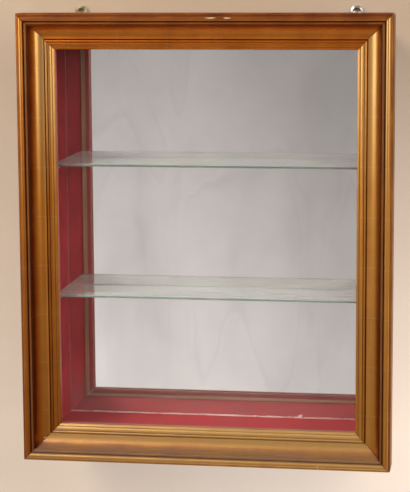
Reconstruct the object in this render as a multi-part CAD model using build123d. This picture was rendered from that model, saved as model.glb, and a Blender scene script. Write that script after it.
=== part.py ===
from build123d import *
import os
from math import hypot

# Wall display cabinet: a lined wooden case with a mirror back and two glass
# shelves, closed by a glazed door whose frame is a mitred gilt moulding.
#
# All lengths are in millimetres. X runs to the right, Y runs back to the wall
# and Z runs up. The origin is on the wall plane, midway between the holes of
# the two hanging plates, so the cabinet lies at negative Y.

# Door frame, outside size and place
frame_width = 600.0
frame_height = 728.0
frame_top_above_holes = 3.0

# Moulding, from its outer edge inward: the width of each element
shoulder_width = 3.1
quirk_width = 0.8
bead_width = 9.0
bead_groove_width = 1.4
flat_fillet_width = 3.2
cove_step_width = 1.8
cove_width = 22.0
cove_groove_width = 1.2
inner_bead_width = 4.1
inner_groove_width = 0.8
slope_width = 6.0
sight_groove_width = 0.8
sight_fillet_width = 3.8

# Moulding: depths and rises, measured back from the flat fillet
shoulder_side = 5.2
shoulder_depth = 1.1
quirk_sink = 0.7
groove_sink = 1.4
bead_foot = 0.9
bead_crest = 3.4
cove_start_depth = 2.0
cove_fall = 18.8
cove_sag = 5.6
inner_bead_rise = 1.5
slope_step = 0.4
slope_fall = 2.2
slope_swell = 0.6
sight_round = 1.4
sight_fillet_fall = 1.6
lip_thickness = 5.2

# Glazing rebate, pane and beads
rebate_width = 8.0
pane_thickness = 3.0
pane_edge_clearance = 1.0
glazing_bead_thickness = 7.0
glazing_bead_chamfer = 1.5
bead_inset_from_sight = 0.5
brad_radius = 0.6
brad_length = 13.5
brad_end_margin = 128.0
brads_per_stile = 3
brads_per_rail = 2

# V nails across the mitres
v_nail_leg = 7.0
v_nail_thickness = 0.8
v_nail_height = 9.0
v_nail_places = (14.0, 34.0)

# Case: boards, lining, mirror and back
case_depth = 128.0
door_gap = 1.0
board_thickness = 13.0
lining_thickness = 1.5
side_inset = 43.0
top_inset = 45.0
back_board_thickness = 5.0
mirror_thickness = 4.0
mirror_rebate = 6.0
mirror_clearance = 1.0
case_nail_radius = 0.9
case_nail_length = 34.0
case_nail_end_margin = 20.0
case_nails_per_corner = 3

# Shelves and their pins
shelf_thickness = 4.0
shelf_depth = 102.0
shelf_side_clearance = 1.5
shelf_rear_clearance = 1.5
shelf_edge_break = 0.4
upper_shelf_height = 483.0
lower_shelf_height = 267.0
pin_radius = 2.5
pin_reach = 8.0
pin_in_board = 9.0
pin_collar_radius = 4.0
pin_collar_thickness = 1.0
pin_seat_gap = 0.1
pin_front_setback = 16.0
pin_rear_setback = 20.0

# Hinges, planted in the corner behind the frame's left overhang
hinge_height = 42.0
hinge_end_distance = 110.0
hinge_knuckle_radius = 3.0
hinge_pin_radius = 1.5
hinge_pin_clearance = 0.05
hinge_pin_head = 1.2
hinge_pin_head_radius = 2.8
hinge_axis_offset = 3.4
hinge_leaf_thickness = 1.2
hinge_leaf_width = 20.0
hinge_leaf_setback = 3.3
hinge_knuckle_gap = 0.3
hinge_screw_spacing = 26.0
hinge_screw_setback = 12.0

# Screws
small_screw_radius = 1.5
small_screw_head_radius = 3.0
small_screw_head_depth = 1.1
leaf_screw_length = 11.0
tiny_screw_radius = 1.1
tiny_screw_head_radius = 2.1
tiny_screw_head_depth = 0.9
tiny_screw_length = 9.0
back_screw_length = 20.0
back_screw_end_margin = 60.0
back_screw_corner_margin = 110.0
back_screws_per_side = 4
back_screws_per_end = 3
plate_screw_length = 22.0
fastener_clearance = 0.05
slot_width = 0.6
slot_depth = 0.5

# Magnetic catch inside the right edge of the door
catch_width = 12.0
catch_depth = 12.5
catch_height = 44.0
catch_lug_height = 9.0
catch_lug_thickness = 4.0
catch_screw_spacing = 35.0
magnet_width = 7.0
magnet_height = 20.0
magnet_depth = 9.0
magnet_play = 0.05
strike_gap = 0.3
strike_width = 9.0
strike_height = 34.0
strike_thickness = 0.7
strike_screw_spacing = 24.0

# Hanging plates
plate_hole_inset = 71.0
plate_hole_radius = 3.0
plate_head_radius = 10.5
plate_foot_radius = 6.0
plate_foot_half_spacing = 16.0
plate_thickness = 2.0

# A cutting tool stands this far past the face that it opens
overshoot = 1.0

# Stations across the moulding, from the outer edge inward
bead_start = shoulder_width + quirk_width
bead_end = bead_start + bead_width
fillet_start = bead_end + bead_groove_width
fillet_end = fillet_start + flat_fillet_width
cove_start = fillet_end + cove_step_width
cove_end = cove_start + cove_width
inner_bead_start = cove_end + cove_groove_width
inner_bead_end = inner_bead_start + inner_bead_width
slope_start = inner_bead_end + inner_groove_width
slope_end = slope_start + slope_width
sight_fillet_start = slope_end + sight_groove_width
moulding_width = sight_fillet_start + sight_fillet_width
rebate_side = moulding_width - rebate_width
bead_side = moulding_width - bead_inset_from_sight

# Depths across the moulding, back from the flat fillet
cove_end_depth = cove_start_depth + cove_fall
slope_start_depth = cove_end_depth + slope_step
slope_end_depth = slope_start_depth + slope_fall
sight_fillet_depth = slope_end_depth + slope_step
sight_round_depth = sight_fillet_depth + sight_fillet_fall
sight_depth = sight_round_depth + sight_round
lip_back = sight_depth + lip_thickness
pane_back = lip_back + pane_thickness
moulding_back = pane_back + glazing_bead_thickness

# Places in the cabinet that follow from the sizes above
frame_half = frame_width / 2
frame_top = frame_top_above_holes
frame_bottom = frame_top - frame_height
frame_middle = (frame_top + frame_bottom) / 2
case_front = -case_depth
door_back = case_front - door_gap
moulding_face = door_back - moulding_back
mirror_back = -back_board_thickness
mirror_front = mirror_back - mirror_thickness
inner_half = frame_half - side_inset
inner_top = frame_top - top_inset
inner_bottom = frame_bottom + top_inset
board_inner_half = inner_half + lining_thickness
board_inner_top = inner_top + lining_thickness
board_inner_bottom = inner_bottom - lining_thickness
case_half = board_inner_half + board_thickness
case_top = board_inner_top + board_thickness
case_bottom = board_inner_bottom - board_thickness
edge_screw_inset = (board_thickness - mirror_rebate) / 2
shelf_half = inner_half - shelf_side_clearance
shelf_rear = mirror_front - shelf_rear_clearance
shelf_front = shelf_rear - shelf_depth
hinge_axis_x = -case_half - hinge_axis_offset
hinge_axis_y = door_back + hinge_axis_offset
catch_front = case_front + strike_gap
catch_lug_face = inner_half - catch_lug_thickness
strike_middle = frame_half - (side_inset + rebate_side) / 2
plate_hole_spacing = frame_width - 2 * plate_hole_inset
plate_foot_height = case_top - edge_screw_inset

nodes = {}


def block(x0, x1, y0, y1, z0, z1):
    """Box between two corners."""
    size = (x1 - x0, y1 - y0, z1 - z0)
    middle = ((x0 + x1) / 2, (y0 + y1) / 2, (z0 + z1) / 2)
    return Pos(*middle) * Box(*size)


def rod(start, direction, length, radius):
    """Cylinder that starts at a point and runs along a direction."""
    plane = Plane(origin=start, z_dir=direction)
    return extrude(plane * Circle(radius), amount=length)


def between(first, last, count):
    """Evenly spaced values from first to last."""
    if count == 1:
        return [(first + last) / 2]
    step = (last - first) / (count - 1)
    return [first + step * i for i in range(count)]


def pair(middle, spacing):
    """Two values, half a spacing to each side of the middle."""
    return between(middle - spacing / 2, middle + spacing / 2, 2)


def screw(seat, direction, length, radius, head_radius, head_depth, room):
    """Countersunk wood screw whose head lies flush with its seat.

    With room above zero it is the hole that such a screw needs.
    """
    upright = (Align.CENTER, Align.CENTER, Align.MIN)
    cone = Cone(head_radius + room, radius + room, head_depth + room, align=upright)
    shank = Cylinder(radius + room, length - head_depth, align=upright)
    body = cone + Pos(0, 0, head_depth) * shank
    if not room:
        body = body - Box(3 * head_radius, slot_width, 2 * slot_depth)
    return Plane(origin=seat, z_dir=direction).location * body


def small_screw(seat, direction, length, room):
    """Screw used in hinges, back board and hanging plates."""
    return screw(seat, direction, length, small_screw_radius, small_screw_head_radius,
                 small_screw_head_depth, room)


def tiny_screw(seat, direction, room):
    """Screw used in the catch."""
    return screw(seat, direction, tiny_screw_length, tiny_screw_radius, tiny_screw_head_radius,
                 tiny_screw_head_depth, room)


def group(shapes):
    """All solids of a list of shapes as one compound."""
    found = []
    for shape in shapes:
        found.extend(shape.solids())
    return Compound(children=found)


def cut_all(shape, tools):
    """Shape with every tool cut away."""
    for tool in tools:
        shape = shape - tool
    return shape


def v_groove(from_point, to_point, sink):
    """Two edges of a V groove between two points of the moulding's section."""
    bottom = ((from_point[0] + to_point[0]) / 2, max(from_point[1], to_point[1]) + sink)
    return [Line(from_point, bottom), Line(bottom, to_point)]


def moulding_section():
    """Closed section of the gilt moulding: distance inward, depth back."""
    chord = hypot(cove_width, cove_fall)
    cove_mid = (
        (cove_start + cove_end) / 2 - cove_sag * cove_fall / chord,
        (cove_start_depth + cove_end_depth) / 2 + cove_sag * cove_width / chord,
    )
    bead_mid = ((bead_start + bead_end) / 2, -bead_crest)
    inner_bead_mid = ((inner_bead_start + inner_bead_end) / 2, cove_end_depth - inner_bead_rise)
    slope_mid = (
        (slope_start + slope_end) / 2,
        (slope_start_depth + slope_end_depth) / 2 - slope_swell,
    )
    sight_round_start = moulding_width - sight_round
    quarter = 1 - 0.5 ** 0.5
    edges = [
        Line((0, moulding_back), (0, shoulder_side)),
        ThreePointArc(
            (0, shoulder_side),
            (quarter * shoulder_width, shoulder_depth + quarter * (shoulder_side - shoulder_depth)),
            (shoulder_width, shoulder_depth),
        ),
        *v_groove((shoulder_width, shoulder_depth), (bead_start, bead_foot), quirk_sink),
        ThreePointArc((bead_start, bead_foot), bead_mid, (bead_end, bead_foot)),
        *v_groove((bead_end, bead_foot), (fillet_start, 0), groove_sink),
        Line((fillet_start, 0), (fillet_end, 0)),
        *v_groove((fillet_end, 0), (cove_start, cove_start_depth), quirk_sink),
        ThreePointArc((cove_start, cove_start_depth), cove_mid, (cove_end, cove_end_depth)),
        *v_groove((cove_end, cove_end_depth), (inner_bead_start, cove_end_depth), groove_sink),
        ThreePointArc((inner_bead_start, cove_end_depth), inner_bead_mid, (inner_bead_end, cove_end_depth)),
        *v_groove((inner_bead_end, cove_end_depth), (slope_start, slope_start_depth), groove_sink),
        ThreePointArc((slope_start, slope_start_depth), slope_mid, (slope_end, slope_end_depth)),
        *v_groove((slope_end, slope_end_depth), (sight_fillet_start, sight_fillet_depth), groove_sink),
        Line((sight_fillet_start, sight_fillet_depth), (sight_round_start, sight_round_depth)),
        ThreePointArc(
            (sight_round_start, sight_round_depth),
            (moulding_width - quarter * sight_round, sight_round_depth + quarter * sight_round),
            (moulding_width, sight_depth),
        ),
        Line((moulding_width, sight_depth), (moulding_width, lip_back)),
        Line((moulding_width, lip_back), (rebate_side, lip_back)),
        Line((rebate_side, lip_back), (rebate_side, moulding_back)),
        Line((rebate_side, moulding_back), (0, moulding_back)),
    ]
    return make_face(Wire(edges))


def glazing_section():
    """Closed section of a glazing bead, in the moulding's coordinates."""
    return make_face(Polyline(
        (rebate_side, pane_back),
        (bead_side, pane_back),
        (bead_side, moulding_back - glazing_bead_chamfer),
        (bead_side - glazing_bead_chamfer, moulding_back),
        (rebate_side, moulding_back),
        close=True,
    ))


def mitred_length(section, length):
    """Section drawn out along Z and cut at 45 degrees at both ends."""
    reach = moulding_width + overshoot
    plan = Polyline((0, 0), (reach, reach), (reach, length - reach), (0, length), close=True)
    keeper = extrude(Plane.XZ * make_face(plan), amount=2 * moulding_back, both=True)
    return extrude(section, amount=length) & keeper


def door_sides():
    """Plane and length of each side: X runs inward, Y back, Z along the side."""
    low_left = (-frame_half, moulding_face, frame_bottom)
    high_left = (-frame_half, moulding_face, frame_top)
    low_right = (frame_half, moulding_face, frame_bottom)
    high_right = (frame_half, moulding_face, frame_top)
    return {
        "left": (Plane(origin=low_left, x_dir=(1, 0, 0), z_dir=(0, 0, 1)), frame_height),
        "right": (Plane(origin=high_right, x_dir=(-1, 0, 0), z_dir=(0, 0, -1)), frame_height),
        "top": (Plane(origin=high_left, x_dir=(0, 0, -1), z_dir=(1, 0, 0)), frame_width),
        "bottom": (Plane(origin=low_right, x_dir=(0, 0, 1), z_dir=(-1, 0, 0)), frame_width),
    }


def glazing_brads(side, room=0.0):
    """Small nails through the glazing bead of one side."""
    plane, length = door_sides()[side]
    count = brads_per_stile if side in ("left", "right") else brads_per_rail
    depth = pane_back + glazing_bead_thickness / 2
    extra = overshoot if room else 0.0
    pieces = []
    for along in between(brad_end_margin, length - brad_end_margin, count):
        start = (bead_side + extra, depth, along)
        nail = rod(start, (-1, 0, 0), brad_length + extra + room, brad_radius + room)
        pieces.append(plane.location * nail)
    return pieces


def mitre_v_nails(room=0.0):
    """V-shaped nails across every mitre, driven in from the back."""
    leg = v_nail_leg + room
    half = v_nail_thickness / 2 + room
    deep = door_back - v_nail_height - room
    nail = block(-leg, half, deep, door_back, -half, half) + block(-half, half, deep, door_back, -leg, half)
    turns = {(-1, -1): 0, (-1, 1): 90, (1, 1): 180, (1, -1): 270}
    pieces = []
    for (across, up), turn in turns.items():
        corner_z = frame_top if up > 0 else frame_bottom
        for place in v_nail_places:
            spot = Pos(across * (frame_half - place), 0, corner_z - up * place)
            pieces.append(spot * nail.rotate(Axis.Y, turn))
    return pieces


def hinge_middles():
    """Heights of the two hinges."""
    return {
        "upper": frame_top - hinge_end_distance,
        "lower": frame_bottom + hinge_end_distance,
    }


def hinge_door_screws(room=0.0):
    """Screws through the door leaves into the frame's overhang."""
    x = hinge_axis_x - hinge_screw_setback
    y = door_back + hinge_leaf_thickness
    heights = [z for middle in hinge_middles().values() for z in pair(middle, hinge_screw_spacing)]
    return [small_screw((x, y, z), (0, -1, 0), leaf_screw_length, room) for z in heights]


def hinge_case_screws(room=0.0):
    """Screws through the case leaves into the left board."""
    x = -case_half - hinge_leaf_thickness
    y = hinge_axis_y + hinge_screw_setback
    heights = [z for middle in hinge_middles().values() for z in pair(middle, hinge_screw_spacing)]
    return [small_screw((x, y, z), (1, 0, 0), leaf_screw_length, room) for z in heights]


def strike_screws(room=0.0):
    """Screws of the strike plate on the door's back."""
    y = door_back + strike_thickness
    heights = pair(frame_middle, strike_screw_spacing)
    return [tiny_screw((strike_middle, y, z), (0, -1, 0), room) for z in heights]


def catch_screws(room=0.0):
    """Screws of the catch housing, through the lining into the right board."""
    y = catch_front + catch_depth / 2
    heights = pair(frame_middle, catch_screw_spacing)
    return [tiny_screw((catch_lug_face, y, z), (1, 0, 0), room) for z in heights]


def back_screws(room=0.0):
    """Screws through the back board into the rear edges of the case boards."""
    side = case_half - edge_screw_inset
    top = case_top - edge_screw_inset
    bottom = case_bottom + edge_screw_inset
    heights = between(bottom + back_screw_end_margin, top - back_screw_end_margin, back_screws_per_side)
    across = between(back_screw_corner_margin - side, side - back_screw_corner_margin, back_screws_per_end)
    places = [(x, z) for x in (-side, side) for z in heights]
    places += [(x, z) for z in (bottom, top) for x in across]
    return [small_screw((x, 0, z), (0, -1, 0), back_screw_length, room) for x, z in places]


def plate_screws(room=0.0):
    """Screws of the hanging plates, through the back board into the top board."""
    pieces = []
    for middle in pair(0, plate_hole_spacing):
        for x in pair(middle, 2 * plate_foot_half_spacing):
            pieces.append(small_screw((x, 0, plate_foot_height), (0, -1, 0), plate_screw_length, room))
    return pieces


def case_nails(room=0.0):
    """Nails through the side boards into the ends of the top and bottom boards."""
    heights = (case_top - board_thickness / 2, case_bottom + board_thickness / 2)
    depths = between(case_front + case_nail_end_margin, mirror_front - case_nail_end_margin,
                     case_nails_per_corner)
    pieces = []
    for side in (-1, 1):
        for z in heights:
            for y in depths:
                start = (side * (case_half + room), y, z)
                pieces.append(rod(start, (-side, 0, 0), case_nail_length + 2 * room, case_nail_radius + room))
    return pieces


def shelf_pins(height, room=0.0):
    """Four pins under the shelf at a height, each with a collar at the lining."""
    seat = frame_bottom + height - shelf_thickness - pin_seat_gap
    above = block(-frame_half, frame_half, case_front, 0, seat, seat + 2 * pin_collar_radius)
    pieces = []
    for side in (-1, 1):
        for y in (shelf_front + pin_front_setback, shelf_rear - pin_rear_setback):
            tip = (side * (inner_half - pin_reach), y, seat - pin_radius)
            length = pin_reach + lining_thickness + pin_in_board + room
            pin = rod(tip, (side, 0, 0), length, pin_radius + room)
            if not room:
                collar_face = (side * (inner_half - pin_collar_thickness), y, seat - pin_radius)
                collar = rod(collar_face, (side, 0, 0), pin_collar_thickness, pin_collar_radius)
                pin = pin + (collar - above)
            pieces.append(pin)
    return pieces


def build_door():
    """Gilt frame, pane, glazing beads and their nails."""
    names = {
        "left": "door_left_stile",
        "right": "door_right_stile",
        "top": "door_top_rail",
        "bottom": "door_bottom_rail",
    }
    v_pockets = mitre_v_nails(fastener_clearance)
    screw_holes = {"left": hinge_door_screws(fastener_clearance), "right": strike_screws(fastener_clearance)}
    all_brads = []
    for side, (plane, length) in door_sides().items():
        brad_holes = glazing_brads(side, fastener_clearance)
        member = plane.location * mitred_length(moulding_section(), length)
        nodes[names[side]] = cut_all(member, v_pockets + brad_holes + screw_holes.get(side, []))
        bead = plane.location * mitred_length(glazing_section(), length)
        nodes["glazing_bead_" + side] = cut_all(bead, brad_holes)
        all_brads += glazing_brads(side)
    pane_inset = rebate_side + pane_edge_clearance
    nodes["door_glass"] = block(
        pane_inset - frame_half, frame_half - pane_inset,
        moulding_face + lip_back, moulding_face + pane_back,
        frame_bottom + pane_inset, frame_top - pane_inset,
    )
    nodes["glazing_brads"] = group(all_brads)
    nodes["mitre_v_nails"] = group(mitre_v_nails())


def shelf_pin_holes():
    """Holes for the pins of both shelves."""
    heights = (upper_shelf_height, lower_shelf_height)
    return [hole for height in heights for hole in shelf_pins(height, fastener_clearance)]


def build_case_boards():
    """Four boards with a rebate for the mirror, and their nails."""
    pin_holes = shelf_pin_holes()
    mirror_bed = block(
        -board_inner_half - mirror_rebate, board_inner_half + mirror_rebate,
        mirror_front, mirror_back,
        board_inner_bottom - mirror_rebate, board_inner_top + mirror_rebate,
    )
    shared = [mirror_bed] + case_nails(fastener_clearance)
    shared += back_screws(fastener_clearance) + plate_screws(fastener_clearance)
    depth = (case_front, mirror_back)
    left = block(-case_half, -board_inner_half, *depth, case_bottom, case_top)
    right = block(board_inner_half, case_half, *depth, case_bottom, case_top)
    top = block(-board_inner_half, board_inner_half, *depth, board_inner_top, case_top)
    bottom = block(-board_inner_half, board_inner_half, *depth, case_bottom, board_inner_bottom)
    nodes["case_left_board"] = cut_all(left, shared + pin_holes + hinge_case_screws(fastener_clearance))
    nodes["case_right_board"] = cut_all(right, shared + pin_holes + catch_screws(fastener_clearance))
    nodes["case_top_board"] = cut_all(top, shared)
    nodes["case_bottom_board"] = cut_all(bottom, shared)
    nodes["case_nails"] = group(case_nails())


def build_lining():
    """Red lining: thin sheets glued to the boards, up to the mirror's face."""
    pin_holes = shelf_pin_holes()
    depth = (case_front, mirror_front)
    left = block(-board_inner_half, -inner_half, *depth, board_inner_bottom, board_inner_top)
    right = block(inner_half, board_inner_half, *depth, board_inner_bottom, board_inner_top)
    nodes["lining_left"] = cut_all(left, pin_holes)
    nodes["lining_right"] = cut_all(right, pin_holes + catch_screws(fastener_clearance))
    nodes["lining_top"] = block(-inner_half, inner_half, *depth, inner_top, board_inner_top)
    nodes["lining_bottom"] = block(-inner_half, inner_half, *depth, board_inner_bottom, inner_bottom)


def build_back():
    """Mirror in its rebate, and the board screwed on behind it."""
    grip = mirror_rebate - mirror_clearance
    nodes["mirror"] = block(
        -board_inner_half - grip, board_inner_half + grip,
        mirror_front, mirror_back,
        board_inner_bottom - grip, board_inner_top + grip,
    )
    board = block(-case_half, case_half, mirror_back, 0, case_bottom, case_top)
    plate_beds = [hanging_plate(middle, fastener_clearance) for middle in pair(0, plate_hole_spacing)]
    holes = back_screws(fastener_clearance) + plate_screws(fastener_clearance)
    nodes["back_board"] = cut_all(board, plate_beds + holes)
    nodes["back_board_screws"] = group(back_screws())


def build_shelves():
    """Two loose glass shelves and the pins that carry them."""
    for name, height in (("upper", upper_shelf_height), ("lower", lower_shelf_height)):
        top = frame_bottom + height
        glass = block(-shelf_half, shelf_half, shelf_front, shelf_rear, top - shelf_thickness, top)
        nodes[name + "_glass_shelf"] = chamfer(glass.edges(), shelf_edge_break)
        nodes[name + "_shelf_pins"] = group(shelf_pins(height))


def hinge_parts(middle):
    """Door leaf, case leaf and pin of one hinge; the middle knuckle is the door's."""
    x = hinge_axis_x
    y = hinge_axis_y
    up = (0, 0, 1)
    low = middle - hinge_height / 2
    high = middle + hinge_height / 2
    knuckle = (hinge_height - 2 * hinge_knuckle_gap) / 3
    neck = hinge_leaf_setback + overshoot
    bore_radius = hinge_pin_radius + hinge_pin_clearance
    bore = rod((x, y, low - overshoot), up, hinge_height + 2 * overshoot, bore_radius)

    door_plate_back = door_back + hinge_leaf_thickness
    door_leaf = block(x - hinge_leaf_width, x - hinge_leaf_setback, door_back, door_plate_back, low, high)
    door_low = low + knuckle + hinge_knuckle_gap
    door_leaf += block(x - neck, x, door_back, door_plate_back, door_low, door_low + knuckle)
    door_leaf += rod((x, y, door_low), up, knuckle, hinge_knuckle_radius)

    plate_face = -case_half - hinge_leaf_thickness
    case_leaf = block(plate_face, -case_half, y + hinge_leaf_setback, y + hinge_leaf_width, low, high)
    for start in (low, high - knuckle):
        case_leaf += block(plate_face, -case_half, y, y + neck, start, start + knuckle)
        case_leaf += rod((x, y, start), up, knuckle, hinge_knuckle_radius)

    shaft = rod((x, y, low), up, hinge_height, hinge_pin_radius)
    head = rod((x, y, high), up, hinge_pin_head, hinge_pin_head_radius)
    head = chamfer(head.edges().group_by(Axis.Z)[-1], hinge_pin_head / 2)
    return door_leaf - bore, case_leaf - bore, shaft + head


def build_hinges():
    """Two butt hinges with loose pins, and their screws."""
    for name, middle in hinge_middles().items():
        door_leaf, case_leaf, pin = hinge_parts(middle)
        nodes[name + "_hinge_door_leaf"] = cut_all(door_leaf, hinge_door_screws(fastener_clearance))
        nodes[name + "_hinge_case_leaf"] = cut_all(case_leaf, hinge_case_screws(fastener_clearance))
        nodes[name + "_hinge_pin"] = pin
    nodes["hinge_door_screws"] = group(hinge_door_screws())
    nodes["hinge_case_screws"] = group(hinge_case_screws())


def build_catch():
    """Magnetic catch on the right lining and its strike plate on the door."""
    low = frame_middle - catch_height / 2
    high = frame_middle + catch_height / 2
    depth = (catch_front, catch_front + catch_depth)
    body_low = low + catch_lug_height
    body_high = high - catch_lug_height
    housing = block(inner_half - catch_width, inner_half, *depth, body_low, body_high)
    housing += block(catch_lug_face, inner_half, *depth, low, high)
    magnet_side = inner_half - (catch_width + magnet_width) / 2
    magnet_low = frame_middle - magnet_height / 2
    magnet_high = frame_middle + magnet_height / 2
    pocket = block(
        magnet_side - magnet_play, magnet_side + magnet_width + magnet_play,
        catch_front, catch_front + magnet_depth + magnet_play,
        magnet_low - magnet_play, magnet_high + magnet_play,
    )
    nodes["catch_housing"] = cut_all(housing - pocket, catch_screws(fastener_clearance))
    nodes["catch_magnet"] = block(magnet_side, magnet_side + magnet_width, catch_front,
                                  catch_front + magnet_depth, magnet_low, magnet_high)
    nodes["catch_screws"] = group(catch_screws())
    plate = block(
        strike_middle - strike_width / 2, strike_middle + strike_width / 2,
        door_back, door_back + strike_thickness,
        frame_middle - strike_height / 2, frame_middle + strike_height / 2,
    )
    nodes["catch_strike_plate"] = cut_all(plate, strike_screws(fastener_clearance))
    nodes["strike_screws"] = group(strike_screws())


def hanging_plate(middle, room=0.0):
    """Three-lobed plate without holes: a round head above two feet."""
    feet = pair(middle, 2 * plate_foot_half_spacing)
    rings = [Pos(middle, 0) * Circle(plate_head_radius + room)]
    rings += [Pos(x, plate_foot_height) * Circle(plate_foot_radius + room) for x in feet]
    outline = make_hull([edge for ring in rings for edge in ring.edges()])
    wall = Plane(origin=(0, 0, 0), x_dir=(1, 0, 0), z_dir=(0, -1, 0))
    return extrude(wall * outline, amount=plate_thickness + room)


def build_hangers():
    """Two hanging plates, let into the back flush, and their screws."""
    for name, middle in zip(("left", "right"), pair(0, plate_hole_spacing)):
        hole = rod((middle, overshoot, 0), (0, -1, 0), plate_thickness + 2 * overshoot, plate_hole_radius)
        plate = hanging_plate(middle) - hole
        nodes[name + "_hanging_plate"] = cut_all(plate, plate_screws(fastener_clearance))
    nodes["hanging_plate_screws"] = group(plate_screws())


build_door()
build_case_boards()
build_lining()
build_back()
build_shelves()
build_hinges()
build_catch()
build_hangers()

os.makedirs("parts", exist_ok=True)
for name, shape in nodes.items():
    export_step(shape, "parts/" + name + ".step")
print(len(nodes), "nodes")
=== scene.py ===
# %% [markdown]
# The looks of a gilt wall cabinet.
# The solid model is packed already and comes in as a fixed frame of named pieces. This notebook gives
# each piece its finish, swaps a few pieces for finer meshes, and sets up a wall, a floor, lamps and a
# camera. Everything is in metres, in the frame of the solid model: X to the right, Y back to the wall
# and Z up, with the origin on the wall between the two hanging plates.

import math
import random

import bpy
from mathutils import Matrix, Vector, noise


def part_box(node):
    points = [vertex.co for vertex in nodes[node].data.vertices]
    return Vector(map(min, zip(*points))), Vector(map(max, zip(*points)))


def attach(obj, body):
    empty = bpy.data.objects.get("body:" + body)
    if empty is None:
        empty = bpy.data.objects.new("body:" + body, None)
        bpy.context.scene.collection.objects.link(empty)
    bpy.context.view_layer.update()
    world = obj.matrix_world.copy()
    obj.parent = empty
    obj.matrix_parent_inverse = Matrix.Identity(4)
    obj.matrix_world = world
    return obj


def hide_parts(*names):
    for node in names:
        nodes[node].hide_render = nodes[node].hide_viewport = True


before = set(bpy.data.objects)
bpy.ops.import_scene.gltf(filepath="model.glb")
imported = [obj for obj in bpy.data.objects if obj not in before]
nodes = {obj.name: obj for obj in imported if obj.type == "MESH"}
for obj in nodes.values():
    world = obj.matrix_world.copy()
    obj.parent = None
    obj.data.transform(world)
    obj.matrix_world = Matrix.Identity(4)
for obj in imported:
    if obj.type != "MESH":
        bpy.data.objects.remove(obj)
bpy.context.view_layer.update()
MM = 0.001
print("pieces in the frame:", len(nodes))

# %% [markdown]
# The camera comes first, because every later choice is judged through it. The picture is taller than
# wide, 410 by 492 pixels. A long lens from three metres away, a little to the right of the cabinet and
# a little above its top edge, gives the slight convergence of the stiles. Three angles describe where
# it points: it turns left by nine degrees, looks down by almost nine, and rolls by a third of one.

# %% Camera
CAMERA_PLACE = Vector((0.4744, -3.1382, 0.0934))
CAMERA_TURN = 9.017
CAMERA_DIP = 8.659
CAMERA_ROLL = -0.323
CAMERA_LENS = 140.04
CAMERA_SENSOR = 36.0

camera_data = bpy.data.cameras.new("camera")
camera_data.lens = CAMERA_LENS
camera_data.sensor_width = CAMERA_SENSOR
camera = bpy.data.objects.new("camera", camera_data)
bpy.context.scene.collection.objects.link(camera)
turn = Matrix.Rotation(math.radians(CAMERA_TURN), 4, "Z")
dip = Matrix.Rotation(math.radians(90.0 - CAMERA_DIP), 4, "X")
roll = Matrix.Rotation(math.radians(CAMERA_ROLL), 4, "Z")
camera.matrix_world = Matrix.Translation(CAMERA_PLACE) @ turn @ dip @ roll
bpy.context.scene.camera = camera
print("camera stands", round(-CAMERA_PLACE.y, 2), "m from the wall")

# %% [markdown]
# Colours are written as the hex values that a colour picker shows, and the shader needs linear light,
# so one function turns one into the other. One more function adds a node of any kind: it takes the
# node's settings, feeds its sockets and hands back the output that the next node wants. With it a
# material reads from top to bottom as a recipe.

# %% Helpers for colours and nodes
def linear(hex_text):
    """Linear RGBA from an sRGB hex colour."""
    channels = [int(hex_text[i:i + 2], 16) / 255 for i in (1, 3, 5)]
    light = [c / 12.92 if c <= 0.04045 else ((c + 0.055) / 1.055) ** 2.4 for c in channels]
    return (*light, 1.0)


def add(tree, kind, feeds=None, out=0, stops=(), **settings):
    """Add a node with its settings and links, and return the output that is asked for.

    A feed names a socket by its title or its place, and is another node's output, a hex colour, a
    number or a vector. Stops are the marks of a colour ramp: a place with a grey value or a hex colour.
    """
    made = tree.nodes.new("ShaderNode" + kind)
    for name, value in settings.items():
        setattr(made, name, value)
    for socket, feed in (feeds or {}).items():
        if isinstance(feed, bpy.types.NodeSocket):
            tree.links.new(feed, made.inputs[socket])
        else:
            made.inputs[socket].default_value = linear(feed) if isinstance(feed, str) else feed
    for number, (place, value) in enumerate(stops):
        marks = made.color_ramp.elements
        if number == 0:
            marks.remove(marks[1])
            marks[0].position = place
        mark = marks.new(place) if number else marks[0]
        mark.color = linear(value) if isinstance(value, str) else (value, value, value, 1.0)
    return made.outputs[out] if len(made.outputs) else None


def fresh(name):
    """New empty material, its node tree and the place on the object that patterns read."""
    material = bpy.data.materials.new(name)
    material.use_nodes = True
    tree = material.node_tree
    tree.nodes.clear()
    return material, tree, add(tree, "TexCoord", out="Object")


def wear(names, material):
    """Give a finish to nodes of the frame."""
    for name in names:
        slots = nodes[name].data.materials
        for i in range(len(slots)):
            slots[i] = material


print("helpers ready; half grey is", round(linear("#808080")[0], 3), "in linear light")

# %% [markdown]
# The gilt frame is what the eye meets first. On the real one a softwood moulding is covered with
# gesso and red-brown bole, then with gold-coloured leaf that is toned with shellac, and mitred at the
# corners. The solid model has the right section, but its curves are in coarse steps and it has one
# finish all round. So each side is made again here as a fine sweep of the same section: the cross
# section is sampled every few tenths of a millimetre, and rings of it are laid along the length. The
# ends run to the mitre, because a point that lies w inside the outer edge starts w along the side.

# %% Moulding section
SHOULDER = 3.1
QUIRK = 0.8
BEAD = 9.0
BEAD_GROOVE = 1.4
FLAT_FILLET = 3.2
COVE_STEP = 1.8
COVE = 22.0
COVE_GROOVE = 1.2
INNER_BEAD = 4.1
INNER_GROOVE = 0.8
SLOPE = 6.0
SIGHT_GROOVE = 0.8
SIGHT_FILLET = 3.8
REBATE = 8.0

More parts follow.
